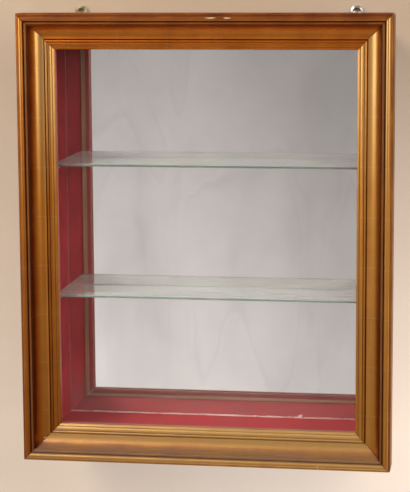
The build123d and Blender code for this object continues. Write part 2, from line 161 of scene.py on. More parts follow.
bead_start = SHOULDER + QUIRK
bead_end = bead_start + BEAD
fillet_start = bead_end + BEAD_GROOVE
fillet_end = fillet_start + FLAT_FILLET
cove_start = fillet_end + COVE_STEP
cove_end = cove_start + COVE
inner_bead_start = cove_end + COVE_GROOVE
inner_bead_end = inner_bead_start + INNER_BEAD
slope_start = inner_bead_end + INNER_GROOVE
slope_end = slope_start + SLOPE
sight_start = slope_end + SIGHT_GROOVE
moulding_width = sight_start + SIGHT_FILLET

SHOULDER_SIDE = 5.2
SHOULDER_TOP = 1.1
SHOULDER_ROUND = (0.9, 2.3)
BEAD_FOOT = 0.9
BEAD_CREST = 3.4
COVE_TOP = 2.0
COVE_FALL = 18.8
COVE_SAG = 5.6
INNER_BEAD_RISE = 1.5
SLOPE_STEP = 0.4
SLOPE_FALL = 2.2
SLOPE_SWELL = 0.6
SIGHT_FALL = 1.6
SIGHT_ROUND = 1.4
SIGHT_ROUND_MIDDLE = (0.4, 1.0)
LIP = 5.2
MOULDING_BACK = 42.0
QUIRK_SINK = 0.2
BEAD_GROOVE_SINK = 1.0
STEP_SINK = 0.4
COVE_GROOVE_SINK = 1.4
INNER_SINK = 0.8

cove_bottom = COVE_TOP + COVE_FALL
slope_top = cove_bottom + SLOPE_STEP
slope_bottom = slope_top + SLOPE_FALL
sight_top = slope_bottom + SLOPE_STEP
sight_bottom = sight_top + (SIGHT_FALL + SIGHT_ROUND)


def arc(start, middle, end, step=0.45):
    """Points on the circle through three points, without the last one."""
    ax, ay = start
    bx, by = middle
    cx, cy = end
    d = 2 * (ax * (by - cy) + bx * (cy - ay) + cx * (ay - by))
    a2, b2, c2 = ax * ax + ay * ay, bx * bx + by * by, cx * cx + cy * cy
    ox = (a2 * (by - cy) + b2 * (cy - ay) + c2 * (ay - by)) / d
    oy = (a2 * (cx - bx) + b2 * (ax - cx) + c2 * (bx - ax)) / d
    radius = math.hypot(ax - ox, ay - oy)
    first, last = math.atan2(ay - oy, ax - ox), math.atan2(cy - oy, cx - ox)
    mid = math.atan2(by - oy, bx - ox)
    sweep = (last - first) % math.tau
    if (mid - first) % math.tau > sweep:
        sweep -= math.tau
    count = max(3, math.ceil(abs(sweep) * radius / step))
    return [(ox + radius * math.cos(first + sweep * i / count),
             oy + radius * math.sin(first + sweep * i / count)) for i in range(count)]


def straight(start, end, step=0.8):
    """Points on a line, without the last one."""
    count = max(1, math.ceil(math.dist(start, end) / step))
    return [(start[0] + (end[0] - start[0]) * i / count,
             start[1] + (end[1] - start[1]) * i / count) for i in range(count)]


def groove(start, end, sink):
    """Points of a narrow groove between two points, rounded by paint at its bottom."""
    middle = ((start[0] + end[0]) / 2, max(start[1], end[1]) + sink)
    return straight(start, middle, 0.4) + straight(middle, end, 0.4)


chord = math.hypot(COVE, COVE_FALL)
bead_middle = ((bead_start + bead_end) / 2, -BEAD_CREST)
cove_middle = ((cove_start + cove_end) / 2 - COVE_SAG * COVE_FALL / chord,
               (COVE_TOP + cove_bottom) / 2 + COVE_SAG * COVE / chord)
inner_middle = ((inner_bead_start + inner_bead_end) / 2, cove_bottom - INNER_BEAD_RISE)
slope_middle = ((slope_start + slope_end) / 2, (slope_top + slope_bottom) / 2 - SLOPE_SWELL)
round_start = (moulding_width - SIGHT_ROUND, sight_top + SIGHT_FALL)
round_middle = (moulding_width - SIGHT_ROUND_MIDDLE[0], sight_bottom - SIGHT_ROUND_MIDDLE[1])
lip_back = sight_bottom + LIP
rebate_side = moulding_width - REBATE
face_points = (
    straight((0, MOULDING_BACK), (0, SHOULDER_SIDE), 3.0)
    + arc((0, SHOULDER_SIDE), SHOULDER_ROUND, (SHOULDER, SHOULDER_TOP))
    + groove((SHOULDER, SHOULDER_TOP), (bead_start, BEAD_FOOT), QUIRK_SINK)
    + arc((bead_start, BEAD_FOOT), bead_middle, (bead_end, BEAD_FOOT))
    + groove((bead_end, BEAD_FOOT), (fillet_start, 0), BEAD_GROOVE_SINK)
    + straight((fillet_start, 0), (fillet_end, 0))
    + groove((fillet_end, 0), (cove_start, COVE_TOP), STEP_SINK)
    + arc((cove_start, COVE_TOP), cove_middle, (cove_end, cove_bottom))
    + groove((cove_end, cove_bottom), (inner_bead_start, cove_bottom), COVE_GROOVE_SINK)
    + arc((inner_bead_start, cove_bottom), inner_middle, (inner_bead_end, cove_bottom))
    + groove((inner_bead_end, cove_bottom), (slope_start, slope_top), INNER_SINK)
    + arc((slope_start, slope_top), slope_middle, (slope_end, slope_bottom))
    + groove((slope_end, slope_bottom), (sight_start, sight_top), INNER_SINK)
    + straight((sight_start, sight_top), round_start)
    + arc(round_start, round_middle, (moulding_width, sight_bottom))
    + straight((moulding_width, sight_bottom), (moulding_width, lip_back), 1.5)
)
back_points = (
    straight((moulding_width, lip_back), (rebate_side, lip_back), 4.0)
    + straight((rebate_side, lip_back), (rebate_side, MOULDING_BACK), 5.0)
    + straight((rebate_side, MOULDING_BACK), (0, MOULDING_BACK), 10.0)
)
face_points = [(max(w, 0.0), depth) for w, depth in face_points]
section = face_points + back_points
print("section has", len(section), "points, of which", len(face_points), "are gilded")

# %% [markdown]
# Each ring of the sweep gets two map coordinates that the gilding reads later: how far it is along
# the side and how far inside the outer edge, and how far it is from the mitre. Hand-finished gesso is
# never quite straight, so every point is also moved by a slow wave of up to a fifth of a millimetre,
# always inward, so that the frame stays inside its solid. The outer corners are worn round, more on
# the free side than on the hinged one, and rings lie closer together there to show it.

# %% Build the four gilt sides
RING_STEP = 5.0
NEAR_MITRE = (0.0, 0.8, 1.6, 2.4, 3.4, 4.6)
CORNER_WEAR = {"left": 1.8, "right": 4.5}
MITRE_GAP = 0.12
WAVE_HEIGHT = 0.22
BACK_RECESS = 0.1

outer_low, outer_high = Vector(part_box("door_left_stile")[0]), Vector(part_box("door_right_stile")[1])
half_width = outer_high.x / MM
top_edge = outer_high.z / MM
bottom_edge = outer_low.z / MM
face_plane = outer_high.y / MM - MOULDING_BACK
frame_height = top_edge - bottom_edge
RIGHTWARD, UPWARD = Vector((1, 0, 0)), Vector((0, 0, 1))
# Each side: its solid, the corner where it starts, the way along it and the way inward.
gilt_sides = {
    "left": ("door_left_stile", (-half_width, 0, bottom_edge), UPWARD, RIGHTWARD),
    "right": ("door_right_stile", (half_width, 0, top_edge), -UPWARD, -RIGHTWARD),
    "top": ("door_top_rail", (-half_width, 0, top_edge), RIGHTWARD, -UPWARD),
    "bottom": ("door_bottom_rail", (half_width, 0, bottom_edge), -RIGHTWARD, UPWARD),
}


def mesh_object(name, vertices, faces, smooth=True):
    """Object from points in millimetres."""
    mesh = bpy.data.meshes.new(name)
    mesh.from_pydata([tuple(c * MM for c in v) for v in vertices], [], faces)
    mesh.update()
    for polygon in mesh.polygons:
        polygon.use_smooth = smooth
    made = bpy.data.objects.new(name, mesh)
    bpy.context.scene.collection.objects.link(made)
    return made


def rounded_corner(point):
    """Point drawn in to the arc of a worn corner, if it lies outside it."""
    radius = CORNER_WEAR["right" if point.x > 0 else "left"]
    middle = (bottom_edge + top_edge) / 2
    over_x = abs(point.x) - (half_width - radius)
    over_z = abs(point.z - middle) - (frame_height / 2 - radius)
    reach = math.hypot(over_x, over_z)
    if over_x <= 0 or over_z <= 0 or reach <= radius:
        return point
    pull = 1 - radius / reach
    pull_x = math.copysign(over_x * pull, point.x)
    pull_z = math.copysign(over_z * pull, point.z - middle)
    return point - Vector((pull_x, 0, pull_z))


def gilt_side(name, corner, along, inward):
    """One mitred length of moulding with its two map layers."""
    length = frame_height if along.z else 2 * half_width
    even = round(length / RING_STEP)
    shares = [mm / length for mm in NEAR_MITRE] + [i / even for i in range(1, even)]
    shares += [1 - mm / length for mm in reversed(NEAR_MITRE)]
    vertices, run, joint = [], [], []
    for share in shares:
        for index, (w, depth) in enumerate(section):
            span = length - 2 * (w + MITRE_GAP)
            place = w + MITRE_GAP + span * share
            base = rounded_corner(corner + along * place + inward * w)
            wave = (noise.noise(Vector((base.x, base.z, w)) * 0.02) + 1) / 2 * WAVE_HEIGHT
            gilded = index < len(face_points)
            y = face_plane + depth + wave if gilded and 0 < index else face_plane + depth
            vertices.append((base.x, min(y, face_plane + MOULDING_BACK - BACK_RECESS), base.z))
            run.append((place * MM, w * MM))
            joint.append((min(place - w, length - w - place) * MM, depth * MM))
    count, rings = len(section), len(shares) - 1
    faces = []
    for ring in range(rings):
        for i in range(count):
            a, b = ring * count + i, ring * count + (i + 1) % count
            faces.append((a, b, b + count, a + count))
    faces.append(tuple(reversed(range(count))))
    faces.append(tuple(range(rings * count, (rings + 1) * count)))
    made = mesh_object(name, vertices, faces)
    mesh = made.data
    for title, values in (("run", run), ("joint", joint)):
        layer = mesh.uv_layers.new(name=title)
        for loop in mesh.loops:
            layer.data[loop.index].uv = values[loop.vertex_index]
    for number, polygon in enumerate(mesh.polygons):
        i = number % count
        bare = number >= rings * count or i >= len(face_points)
        polygon.material_index = 1 if bare else 0
        polygon.use_smooth = not bare
    return made


gilt_pieces = {}
for side, (node_name, corner, along, inward) in gilt_sides.items():
    piece = gilt_side("gilt_" + node_name.replace("door_", ""), Vector(corner), along, inward)
    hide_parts(node_name)
    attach(piece, "door")
    gilt_pieces[side] = piece
    print(piece.name, "has", len(piece.data.polygons), "faces")

# %% [markdown]
# Toned gilding is two things at once. Underneath lies red-brown bole, which shows through wherever the
# leaf is thin. On top lies the leaf, a metal of orange-gold, and over it a wash of shellac and umber
# that the gilder wipes off the crests and leaves in the hollows. So one metallic shader carries the
# leaf, and its colour varies as the wash does. Faint streaks run along the length, because both leaf
# and wash were brushed that way. The pattern reads the two map layers, so it follows the moulding round
# every corner.
#
# The four sides differ, partly from age and partly from painted light and shade. The stiles are
# painted paler gold near the top as a highlight, and are rubbed on their crests. The top rail faces
# down: it has a deep brown wash painted as shade, most of all on the upper half of its bead, and its
# gold is redder. The bottom rail faces up and is painted paler gold as a highlight; it is also a shelf
# for dust: it fills the grooves there and greys the lower half of the hollow. Each side has its own
# maps for this, written as marks over the width of the moulding.

# %% Wash, wear, dust and painted light of each side
# Painted light: the top rail's gold is redder as shade, and the bottom rail's paler as a highlight.
GOLD = "#DB8F26"
GOLD_LIT_AND_SHADED_OF_SIDE = {"left": GOLD, "right": GOLD, "top": "#F2942C", "bottom": "#E2A645"}
# Pale gold of burnished leaf and of the laps, used also as a painted highlight.
PALE_GOLD_AND_HIGHLIGHT = "#D8AE6C"
PALE_GOLD_AND_HIGHLIGHT_OF_SIDE = {"left": PALE_GOLD_AND_HIGHLIGHT, "right": PALE_GOLD_AND_HIGHLIGHT, "top": PALE_GOLD_AND_HIGHLIGHT, "bottom": "#EDC078"}
SHELLAC = "#B0620F"
BOLE = "#8C3A06"
SHELLAC_PAINTED_SHADE = "#A34F0C"
UMBER = "#4E1800"
GESSO = "#DCC29C"
# Tones of the wash and of the dirt; the top rail's are darker and redder as painted shade.
WASH_AND_SHADE_TONE = {"left": BOLE, "right": "#8A4A14", "top": "#AE4E08", "bottom": BOLE}
DIRT_AND_SHADE_TONE = {"left": "#5C3A2C", "right": "#5C3A2C", "top": "#48220F", "bottom": "#84695A"}

# Wash and painted shade: how much bole-brown shows, at millimetres from the outer edge. On the top
# rail and in the outer part of the stiles' hollows it is painted shade.
WASH_AND_PAINTED_SHADE = {
    "left": [(0, 0.6), (3, 0.55), (5, 0.5), (8, 0.42), (12.4, 0.6), (14.3, 0.5), (17.4, 0.5),
             (19.3, 1.0), (23.3, 0.85), (31.3, 0.14), (41, 0.05), (42.8, 0.85), (46.5, 0.7),
             (49, 0.45), (54, 0.3), (58, 0.28)],
    "right": [(0, 0.75), (3, 0.5), (4.3, 0.0), (11.5, 0.0), (13, 0.3), (14.3, 0.45), (17.4, 0.5),
              (19.3, 0.95), (21.5, 0.8), (27.5, 0.12), (41, 0.05), (42.8, 0.4), (46.5, 0.35),
              (48.5, 0.08), (58, 0.08)],
    "top": [(0, 0.95), (3, 0.9), (5, 0.95), (8, 0.9), (11, 0.6), (12.8, 0.5), (14.3, 0.75), (17.4, 0.75),
            (19.3, 0.85), (22, 0.7), (27, 0.4), (34, 0.3), (40.5, 0.5), (43, 0.6), (46, 0.6),
            (48.5, 0.45), (54, 0.35), (58, 0.5)],
    "bottom": [(0, 0.3), (3, 0.25), (5, 0.05), (11, 0.05), (13, 0.3), (22, 0.4), (28, 0.45), (34, 0.1),
               (41, 0.0), (58, 0.05)],
}
# Rubbed and painted highlight: where the leaf is burnished pale or painted pale as a highlight, and
# how much of that is left far down the side.
RUBBED_AND_HIGHLIGHT = {
    "left": [(5, 0.0), (8.4, 0.5), (11, 0.0), (27, 0.0), (31, 0.8), (40, 0.8), (41, 0.0), (43, 0.7),
             (45.5, 0.7), (47, 0.0), (48, 0.8), (50, 0.4), (55, 0.8), (57, 0.4)],
    "right": [(4, 0.0), (6, 0.7), (11, 0.9), (12.5, 0.0), (25, 0.0), (29, 0.8), (40, 0.8), (41, 0.0),
              (43, 0.5), (45.5, 0.4), (47, 0.0), (48, 0.8), (51, 0.5), (55, 0.8), (57, 0.6)],
    "top": [(8, 0.0), (11.4, 0.5), (12.6, 0.0), (28, 0.0), (34, 0.12), (38, 0.0)],
    "bottom": [(4, 0.2), (8.4, 0.8), (12, 0.4), (27, 0.0), (32, 0.6), (36, 1.0), (41, 1.0),
               (44, 0.8), (50, 0.9), (58, 0.8)],
}
PALE_BELOW_PAINTED_HIGHLIGHT = {"left": 0.05, "right": 0.3, "top": 0.5, "bottom": 0.7}
# Dirt in the recess between bead and hollow, and how dark the umber is in each of the six grooves.
DIRT = {"left": 0.8, "right": 0.8, "top": 0.8, "bottom": 0.95}
GROOVE_UMBER = {
    "left": (0.35, 0.95, 0.75, 0.85, 0.45, 0.25),
    "right": (0.0, 0.85, 0.8, 0.75, 0.3, 0.15),
    "top": (0.3, 0.95, 0.5, 0.9, 0.1, 0.1),
    "bottom": (0.0, 0.05, 0.0, 0.1, 0.1, 0.0),
}
hollow_rim = cove_start + 0.4
GROOVE_SPANS = ((SHOULDER, bead_start), (bead_end, fillet_start), (fillet_end, hollow_rim),
                (cove_end, inner_bead_start), (inner_bead_end, slope_start), (slope_end, sight_start))
# Umber fades out over this many millimetres beside a groove, and further in the hollow.
GROOVE_FADE = 0.3
GROOVE_EDGE = 0.1
HOLLOW_FADE = {"left": 3.0, "right": 4.0, "top": 0.8, "bottom": 0.3}
# Soot and finger dirt on the outer rim, at millimetres from the outer edge. On the top rail it
# spreads over the upper half of the bead as painted shade.
RIM_DIRT_AND_SHADE = {
    "left": [(0, 0.35), (3, 0.3), (4.5, 0.0)],
    "right": [(0, 0.55), (3, 0.45), (4.5, 0.0)],
    "top": [(0, 0.9), (5, 0.88), (8, 0.72), (10.5, 0.45), (12, 0.15)],
    "bottom": [(0, 0.2), (3, 0.15), (4.5, 0.0)],
}
# Where the dirt of the recess ends: it is thinner from a foot on, and gone at its reach.
RECESS_END = {"left": (18.4, 20.0), "right": (18.4, 20.0), "top": (18.4, 20.0), "bottom": (24.0, 31.0)}
# Chips that bare the pale gesso: place across and up, half width and half height, in millimetres.
GESSO_CHIPS = [(14.7, -4.4, 7.5, 1.0), (40.6, -4.4, 5.0, 0.9), (184.0, -720.0, 1.0, 3.6),
               (-267.6, -690.8, 2.0, 1.1)]
# Sizes of the patterns, in millimetres. A leaf is 80 mm square, and its torn edge wavers.
LEAF_SIZE = 80.0
LEAF_EDGE_WAVER = 1.5
GRAIN_SIZE = 1.1
MITRE_GRIME = 6.0
STREAK_WIDTH = 1.6
STREAK_LENGTH = 60.0
BLOTCH_SIZE = 45.0


def over_width(marks):
    """Marks in millimetres from the outer edge, as shares of the moulding's width."""
    return [(mm / moulding_width, value) for mm, value in marks]


def groove_marks(side):
    """Marks that rise to the umber's depth inside each groove."""
    marks = []
    for (start, end), depth in zip(GROOVE_SPANS, GROOVE_UMBER[side]):
        fade = HOLLOW_FADE[side] if end == hollow_rim else GROOVE_FADE
        marks += [(start - GROOVE_FADE, 0.0), (start + GROOVE_EDGE, depth),
                  (end - GROOVE_EDGE, depth), (end + fade, 0.0)]
    return marks


print("marks over the left stile:", len(WASH_AND_PAINTED_SHADE["left"]), "of wash,", len(groove_marks("left")), "of umber")

# %% [markdown]
# A gilder works from the leaf outwards, and so does the recipe. It first finds nine shares between
# nothing and one: where the leaf is thin, where its specks and laps are, where wash with painted
# shade, darker shellac painted as shade, rubbing with painted highlight, umber, dirt with painted
# shade and chips lie. Then it lays one tone after another over the gold, each by its share. Last come
# the metal, the roughness and the relief, which follow the same shares, because a dusty or washed
# place is also duller than bare leaf.

# %% Gilding
def gilding(side):
    """Shellac-toned gold leaf over bole and gesso, as it aged on one side."""
    material, tree, place = fresh("shellac_toned_gold_leaf_" + side)
    run = add(tree, "UVMap", uv_map="run")
    joint = add(tree, "UVMap", uv_map="joint")
    x, z = (add(tree, "SeparateXYZ", {0: place}, out=axis) for axis in (0, 2))
    along, inside_edge = (add(tree, "SeparateXYZ", {0: run}, out=axis) for axis in (0, 1))
    across = add(tree, "Math", {0: inside_edge, 1: moulding_width * MM}, operation="DIVIDE")

    # Streaks along the length, slow blotches over the frame, and grain of about a millimetre.
    brushed = (1 / (STREAK_LENGTH * MM), 1 / (STREAK_WIDTH * MM), 1.0)
    stretch = add(tree, "VectorMath", {0: run, 1: brushed}, operation="MULTIPLY")
    streaks = add(tree, "TexNoise", {"Vector": stretch, "Scale": 1.0, "Detail": 3.0, "Roughness": 0.6})
    blotches = add(tree, "TexNoise", {"Vector": place, "Scale": 1 / (BLOTCH_SIZE * MM), "Detail": 4.0,
                                      "Roughness": 0.6})
    grain = add(tree, "TexNoise", {"Vector": place, "Scale": 1 / (GRAIN_SIZE * MM), "Detail": 3.0,
                                   "Roughness": 0.65})

    # Thin leaf lets the bole through, in streaks and in specks.
    part_streaks = add(tree, "Math", {0: streaks, 1: 0.45}, operation="MULTIPLY")
    tone = add(tree, "Math", {0: blotches, 1: 0.55, 2: part_streaks}, operation="MULTIPLY_ADD")
    thin_leaf = add(tree, "ValToRGB", {0: tone}, stops=[(0.42, 0.0), (0.66, 0.5)])
    specks = add(tree, "ValToRGB", {0: grain}, stops=[(0.56, 0.0), (0.70, 0.2)])

    # Each leaf laps over the last one, and the double gold there stays a little brighter.
    torn = add(tree, "Math", {0: grain, 1: LEAF_EDGE_WAVER * MM, 2: along}, operation="MULTIPLY_ADD")
    since_lap = add(tree, "Math", {0: torn, 1: LEAF_SIZE * MM}, operation="FLOORED_MODULO")
    since_lap = add(tree, "Math", {0: since_lap, 1: LEAF_SIZE * MM}, operation="DIVIDE")
    lap = add(tree, "ValToRGB", {0: since_lap},
              stops=[(0.0, 0.0), (0.01, 0.3), (0.03, 0.3), (0.04, 0.0)])

    # The wash over the section, uneven by a quarter.
    uneven = add(tree, "ValToRGB", {0: blotches}, stops=[(0.3, 0.72), (0.7, 1.0)])
    map_of_wash_and_shade = add(tree, "ValToRGB", {0: across}, stops=over_width(WASH_AND_PAINTED_SHADE[side]))
    wash_and_shade = add(tree, "Math", {0: map_of_wash_and_shade, 1: uneven}, operation="MULTIPLY")

    # Painted shade: towards the lower left the gold is darker and redder, as if the shellac lay thicker.
    lean = add(tree, "Math", {0: z, 1: 0.6, 2: x}, operation="MULTIPLY_ADD")
    thick = add(tree, "MapRange", {0: lean, 1: -0.35, 2: -0.66, 3: 0.0, 4: 0.35})

    # Burnished where hands and dusters rub, and painted pale as a highlight near the top of the stiles.
    painted_highlight_near_top = add(tree, "MapRange", {0: z, 1: -0.30, 2: -0.12, 3: PALE_BELOW_PAINTED_HIGHLIGHT[side], 4: 1.0})
    broken = add(tree, "ValToRGB", {0: grain}, stops=[(0.35, 0.75), (0.6, 1.0)])
    map_of_rub_and_highlight = add(tree, "ValToRGB", {0: across}, stops=over_width(RUBBED_AND_HIGHLIGHT[side]))
    rubbed_and_highlight = add(tree, "Math", {0: map_of_rub_and_highlight, 1: painted_highlight_near_top}, operation="MULTIPLY")
    rubbed_and_highlight = add(tree, "Math", {0: rubbed_and_highlight, 1: broken}, operation="MULTIPLY")

    # Umber in the grooves, and beside the mitre as a dark hairline with a little grime.
    grooves = add(tree, "ValToRGB", {0: across}, stops=over_width(groove_marks(side)))
    from_joint = add(tree, "SeparateXYZ", {0: joint}, out=0)
    from_joint = add(tree, "Math", {0: from_joint, 1: MITRE_GRIME * MM}, operation="DIVIDE")
    from_joint = add(tree, "Math", {0: grain, 1: 0.08, 2: from_joint}, operation="MULTIPLY_ADD")
    grime = add(tree, "ValToRGB", {0: from_joint},
                stops=[(0.0, 0.95), (0.10, 0.7), (0.18, 0.12), (0.7, 0.0)])
    umber = add(tree, "Math", {0: grooves, 1: grime}, operation="MAXIMUM")

    # Dust settles on what faces up, most of all low down, and dirt sits in the recess.
    normal = add(tree, "NewGeometry", out="Normal")
    up = add(tree, "SeparateXYZ", {0: normal}, out=2)
    flat_share = add(tree, "ValToRGB", {0: up}, stops=[(0.1, 0.0), (0.45, 0.35), (0.9, 1.0)])
    low_down = add(tree, "MapRange", {0: z, 1: -0.3, 2: -0.66, 3: 0.2, 4: 0.85})
    settled = add(tree, "Math", {0: flat_share, 1: low_down}, operation="MULTIPLY")
    deep, (foot, reach) = DIRT[side], RECESS_END[side]
    recess = RIM_DIRT_AND_SHADE[side] + [(12.6, 0.0), (14.2, deep), (17.4, deep), (foot, deep * 0.6), (reach, 0.0)]
    dirt = add(tree, "ValToRGB", {0: across}, stops=over_width(recess))
    soiled = add(tree, "Math", {0: settled, 1: dirt}, operation="MAXIMUM")
    wiped = add(tree, "ValToRGB", {0: streaks}, stops=[(0.35, 0.7), (0.6, 1.0)])
    soiled = add(tree, "Math", {0: soiled, 1: uneven}, operation="MULTIPLY")
    soiled = add(tree, "Math", {0: soiled, 1: wiped}, operation="MULTIPLY")

    # Chips: inside a ragged ellipse the gesso is bare.
    chipped = 0.0
    for chip_x, chip_z, wide, high in GESSO_CHIPS:
        middle, scale = (chip_x * MM, 0.0, chip_z * MM), (1 / (wide * MM), 0.0, 1 / (high * MM))
        offset = add(tree, "VectorMath", {0: place, 1: middle}, operation="SUBTRACT")
        scaled = add(tree, "VectorMath", {0: offset, 1: scale}, operation="MULTIPLY")
        distance = add(tree, "VectorMath", {0: scaled}, out="Value", operation="LENGTH")
        ragged = add(tree, "Math", {0: grain, 1: 2.6, 2: distance}, operation="MULTIPLY_ADD")
        inside = add(tree, "Math", {0: ragged, 1: 2.3}, operation="LESS_THAN")
        chipped = add(tree, "Math", {0: chipped, 1: inside}, operation="MAXIMUM")

    # The tones go over the gold in the order in which they came on the real frame, with the painted
    # shade and highlight among them.
    colour = GOLD_LIT_AND_SHADED_OF_SIDE[side]
    layers = ((thin_leaf, SHELLAC), (specks, BOLE), (lap, PALE_GOLD_AND_HIGHLIGHT), (wash_and_shade, WASH_AND_SHADE_TONE[side]),
              (thick, SHELLAC_PAINTED_SHADE), (rubbed_and_highlight, PALE_GOLD_AND_HIGHLIGHT_OF_SIDE[side]), (umber, UMBER),
              (soiled, DIRT_AND_SHADE_TONE[side]), (chipped, GESSO))
    for share, tone_on_top in layers:
        colour = add(tree, "Mix", {0: share, 6: colour, 7: tone_on_top}, out=2, data_type="RGBA")

    # Dust, dirt and gesso are matt; wash keeps the leaf's metal but loses the coat's gloss.
    matt = add(tree, "Math", {0: soiled, 1: chipped}, operation="MAXIMUM")
    metallic = add(tree, "Math", {0: matt, 1: -0.8, 2: 0.92}, operation="MULTIPLY_ADD")
    dull = add(tree, "Math", {0: matt, 1: wash_and_shade}, operation="MAXIMUM")
    dull = add(tree, "Math", {0: dull, 1: umber}, operation="MAXIMUM")
    coat = add(tree, "Math", {0: dull, 1: -0.5, 2: 0.5}, operation="MULTIPLY_ADD")
    rough = add(tree, "Math", {0: blotches, 1: 0.14, 2: 0.26}, operation="MULTIPLY_ADD")
    rough = add(tree, "Math", {0: matt, 1: 0.4, 2: rough}, operation="MULTIPLY_ADD")
    height = add(tree, "Math", {0: grain, 1: streaks}, operation="ADD")
    bump = add(tree, "Bump", {"Height": height, "Strength": 0.1, "Distance": 0.03 * MM})
    shader = add(tree, "BsdfPrincipled", {"Base Color": colour, "Metallic": metallic, "Roughness": rough,
                 "Coat Weight": coat, "Coat Roughness": 0.22, "Specular IOR Level": 0.2, "Normal": bump})
    add(tree, "OutputMaterial", {0: shader})
    return material


gold_leaf = {side: gilding(side) for side in gilt_pieces}
print("gilding on the left stile has", len(gold_leaf["left"].node_tree.nodes), "nodes")

# %% [markdown]
# The backs of the gilt sides are bare softwood that has gone olive-brown with age. They matter here,
# because the mirror shows them as a narrow strip beside the red lining. Little lamp light reaches
# that strip inside the case, so the bare wood and the red glazing beads are painted paler than they
# are, as painted light. The same recipe, with other colours and another direction of the grain,
# serves all the plain timber: the case boards, the plywood back and the glazing beads. Growth rings
# are drawn as a stretched noise, two to four millimetres apart across the grain, with fine dark pores
# in between.

# %% Timber
TIMBER_DUST = "#A89884"
GRAIN_STRETCH = 28


def timber(name, light, dark, grain_axis, ring_width, gloss, dusty):
    """Sawn or planed wood with its grain along an axis: 0 for X and 2 for Z."""
    material, tree, place = fresh(name)
    scale = [1 / (ring_width * MM)] * 3
    scale[grain_axis] /= GRAIN_STRETCH
    stretched = add(tree, "VectorMath", {0: place, 1: scale}, operation="MULTIPLY")
    rings = add(tree, "TexNoise", {"Vector": stretched, "Scale": 0.35, "Detail": 4.0, "Roughness": 0.6,
                                   "Distortion": 0.4})
    pores = add(tree, "TexNoise", {"Vector": stretched, "Scale": 3.2, "Detail": 2.0, "Roughness": 0.7})
    patches = add(tree, "TexNoise", {"Vector": place, "Scale": 14.0, "Detail": 3.0})
    late_wood = add(tree, "ValToRGB", {0: rings}, stops=[(0.36, 0.0), (0.66, 1.0)])
    colour = add(tree, "Mix", {0: late_wood, 6: light, 7: dark}, out=2, data_type="RGBA")
    open_pores = add(tree, "ValToRGB", {0: pores}, stops=[(0.55, 0.0), (0.75, 0.55)])
    colour = add(tree, "Mix", {0: open_pores, 6: colour, 7: dark}, out=2, data_type="RGBA",
                 blend_type="MULTIPLY")
    dust = add(tree, "Math", {0: patches, 1: dusty}, operation="MULTIPLY")
    colour = add(tree, "Mix", {0: dust, 6: colour, 7: TIMBER_DUST}, out=2, data_type="RGBA")
    rough = add(tree, "Math", {0: pores, 1: 0.2, 2: 1.0 - gloss}, operation="MULTIPLY_ADD")
    bump = add(tree, "Bump", {"Height": pores, "Strength": 0.4, "Distance": 0.2 * MM})
    shader = add(tree, "BsdfPrincipled", {"Base Color": colour, "Roughness": rough, "IOR": 1.5,
                 "Specular IOR Level": 0.35, "Normal": bump})
    add(tree, "OutputMaterial", {0: shader})
    return material


# Painted light: the bare backs and the red beads are paler than their own colour, for missing light.
bare_stile_wood_painted_light = timber("aged_bare_softwood_upright_painted_light", "#F0D0A6", "#CAA282", 2, 2.6, 0.35, 0.2)
bare_rail_wood_painted_light = timber("aged_bare_softwood_level_painted_light", "#F2D6B6", "#D8B692", 0, 2.6, 0.35, 0.2)
case_upright = timber("stained_pine_upright", "#7A5030", "#4C2C17", 2, 3.2, 0.45, 0.12)
case_level = timber("stained_pine_level", "#7A5030", "#4C2C17", 0, 3.2, 0.45, 0.12)
plywood = timber("raw_birch_plywood", "#B08A5E", "#8C6A44", 2, 4.0, 0.3, 0.2)
bead_upright_painted_light = timber("dull_red_painted_bead_upright_painted_light", "#D66C6A", "#B25250", 2, 1.8, 0.4, 0.15)
bead_level_painted_light = timber("dull_red_painted_bead_level_painted_light", "#BC6862", "#A5524D", 0, 1.8, 0.4, 0.15)

for side, piece in gilt_pieces.items():
    piece.data.materials.append(gold_leaf[side])
    piece.data.materials.append(bare_stile_wood_painted_light if side in ("left", "right") else bare_rail_wood_painted_light)
wear(["case_left_board", "case_right_board"], case_upright)
wear(["case_top_board", "case_bottom_board"], case_level)
wear(["back_board"], plywood)
wear(["glazing_bead_left", "glazing_bead_right"], bead_upright_painted_light)
wear(["glazing_bead_top", "glazing_bead_bottom"], bead_level_painted_light)
print("timber finishes: 7")

# %% [markdown]
# The lining is red cloth on card, woven like book cloth. Fine waves along all three axes, multiplied,
# leave two crossed sets of threads on every face. Real threads are half a millimetre apart, which is
# finer than one pixel here, so they are drawn almost a millimetre apart and stay in the relief, and a
# wider mottle carries the colour. The floor has faded and caught dust, and is also painted paler as
# light where it faces up; the top is painted darker red as shade.

# %% Red cloth lining
THREAD_PITCH = 0.9
LINT_SIZE = 2.2
CLOTH_RED = "#AB3135"
CLOTH_FADED_AND_LIT = "#D86A6C"
CLOTH_DEEP = "#892326"
CLOTH_SHADED = "#6A0F0C"
PALE_LINT = "#C9A9A2"


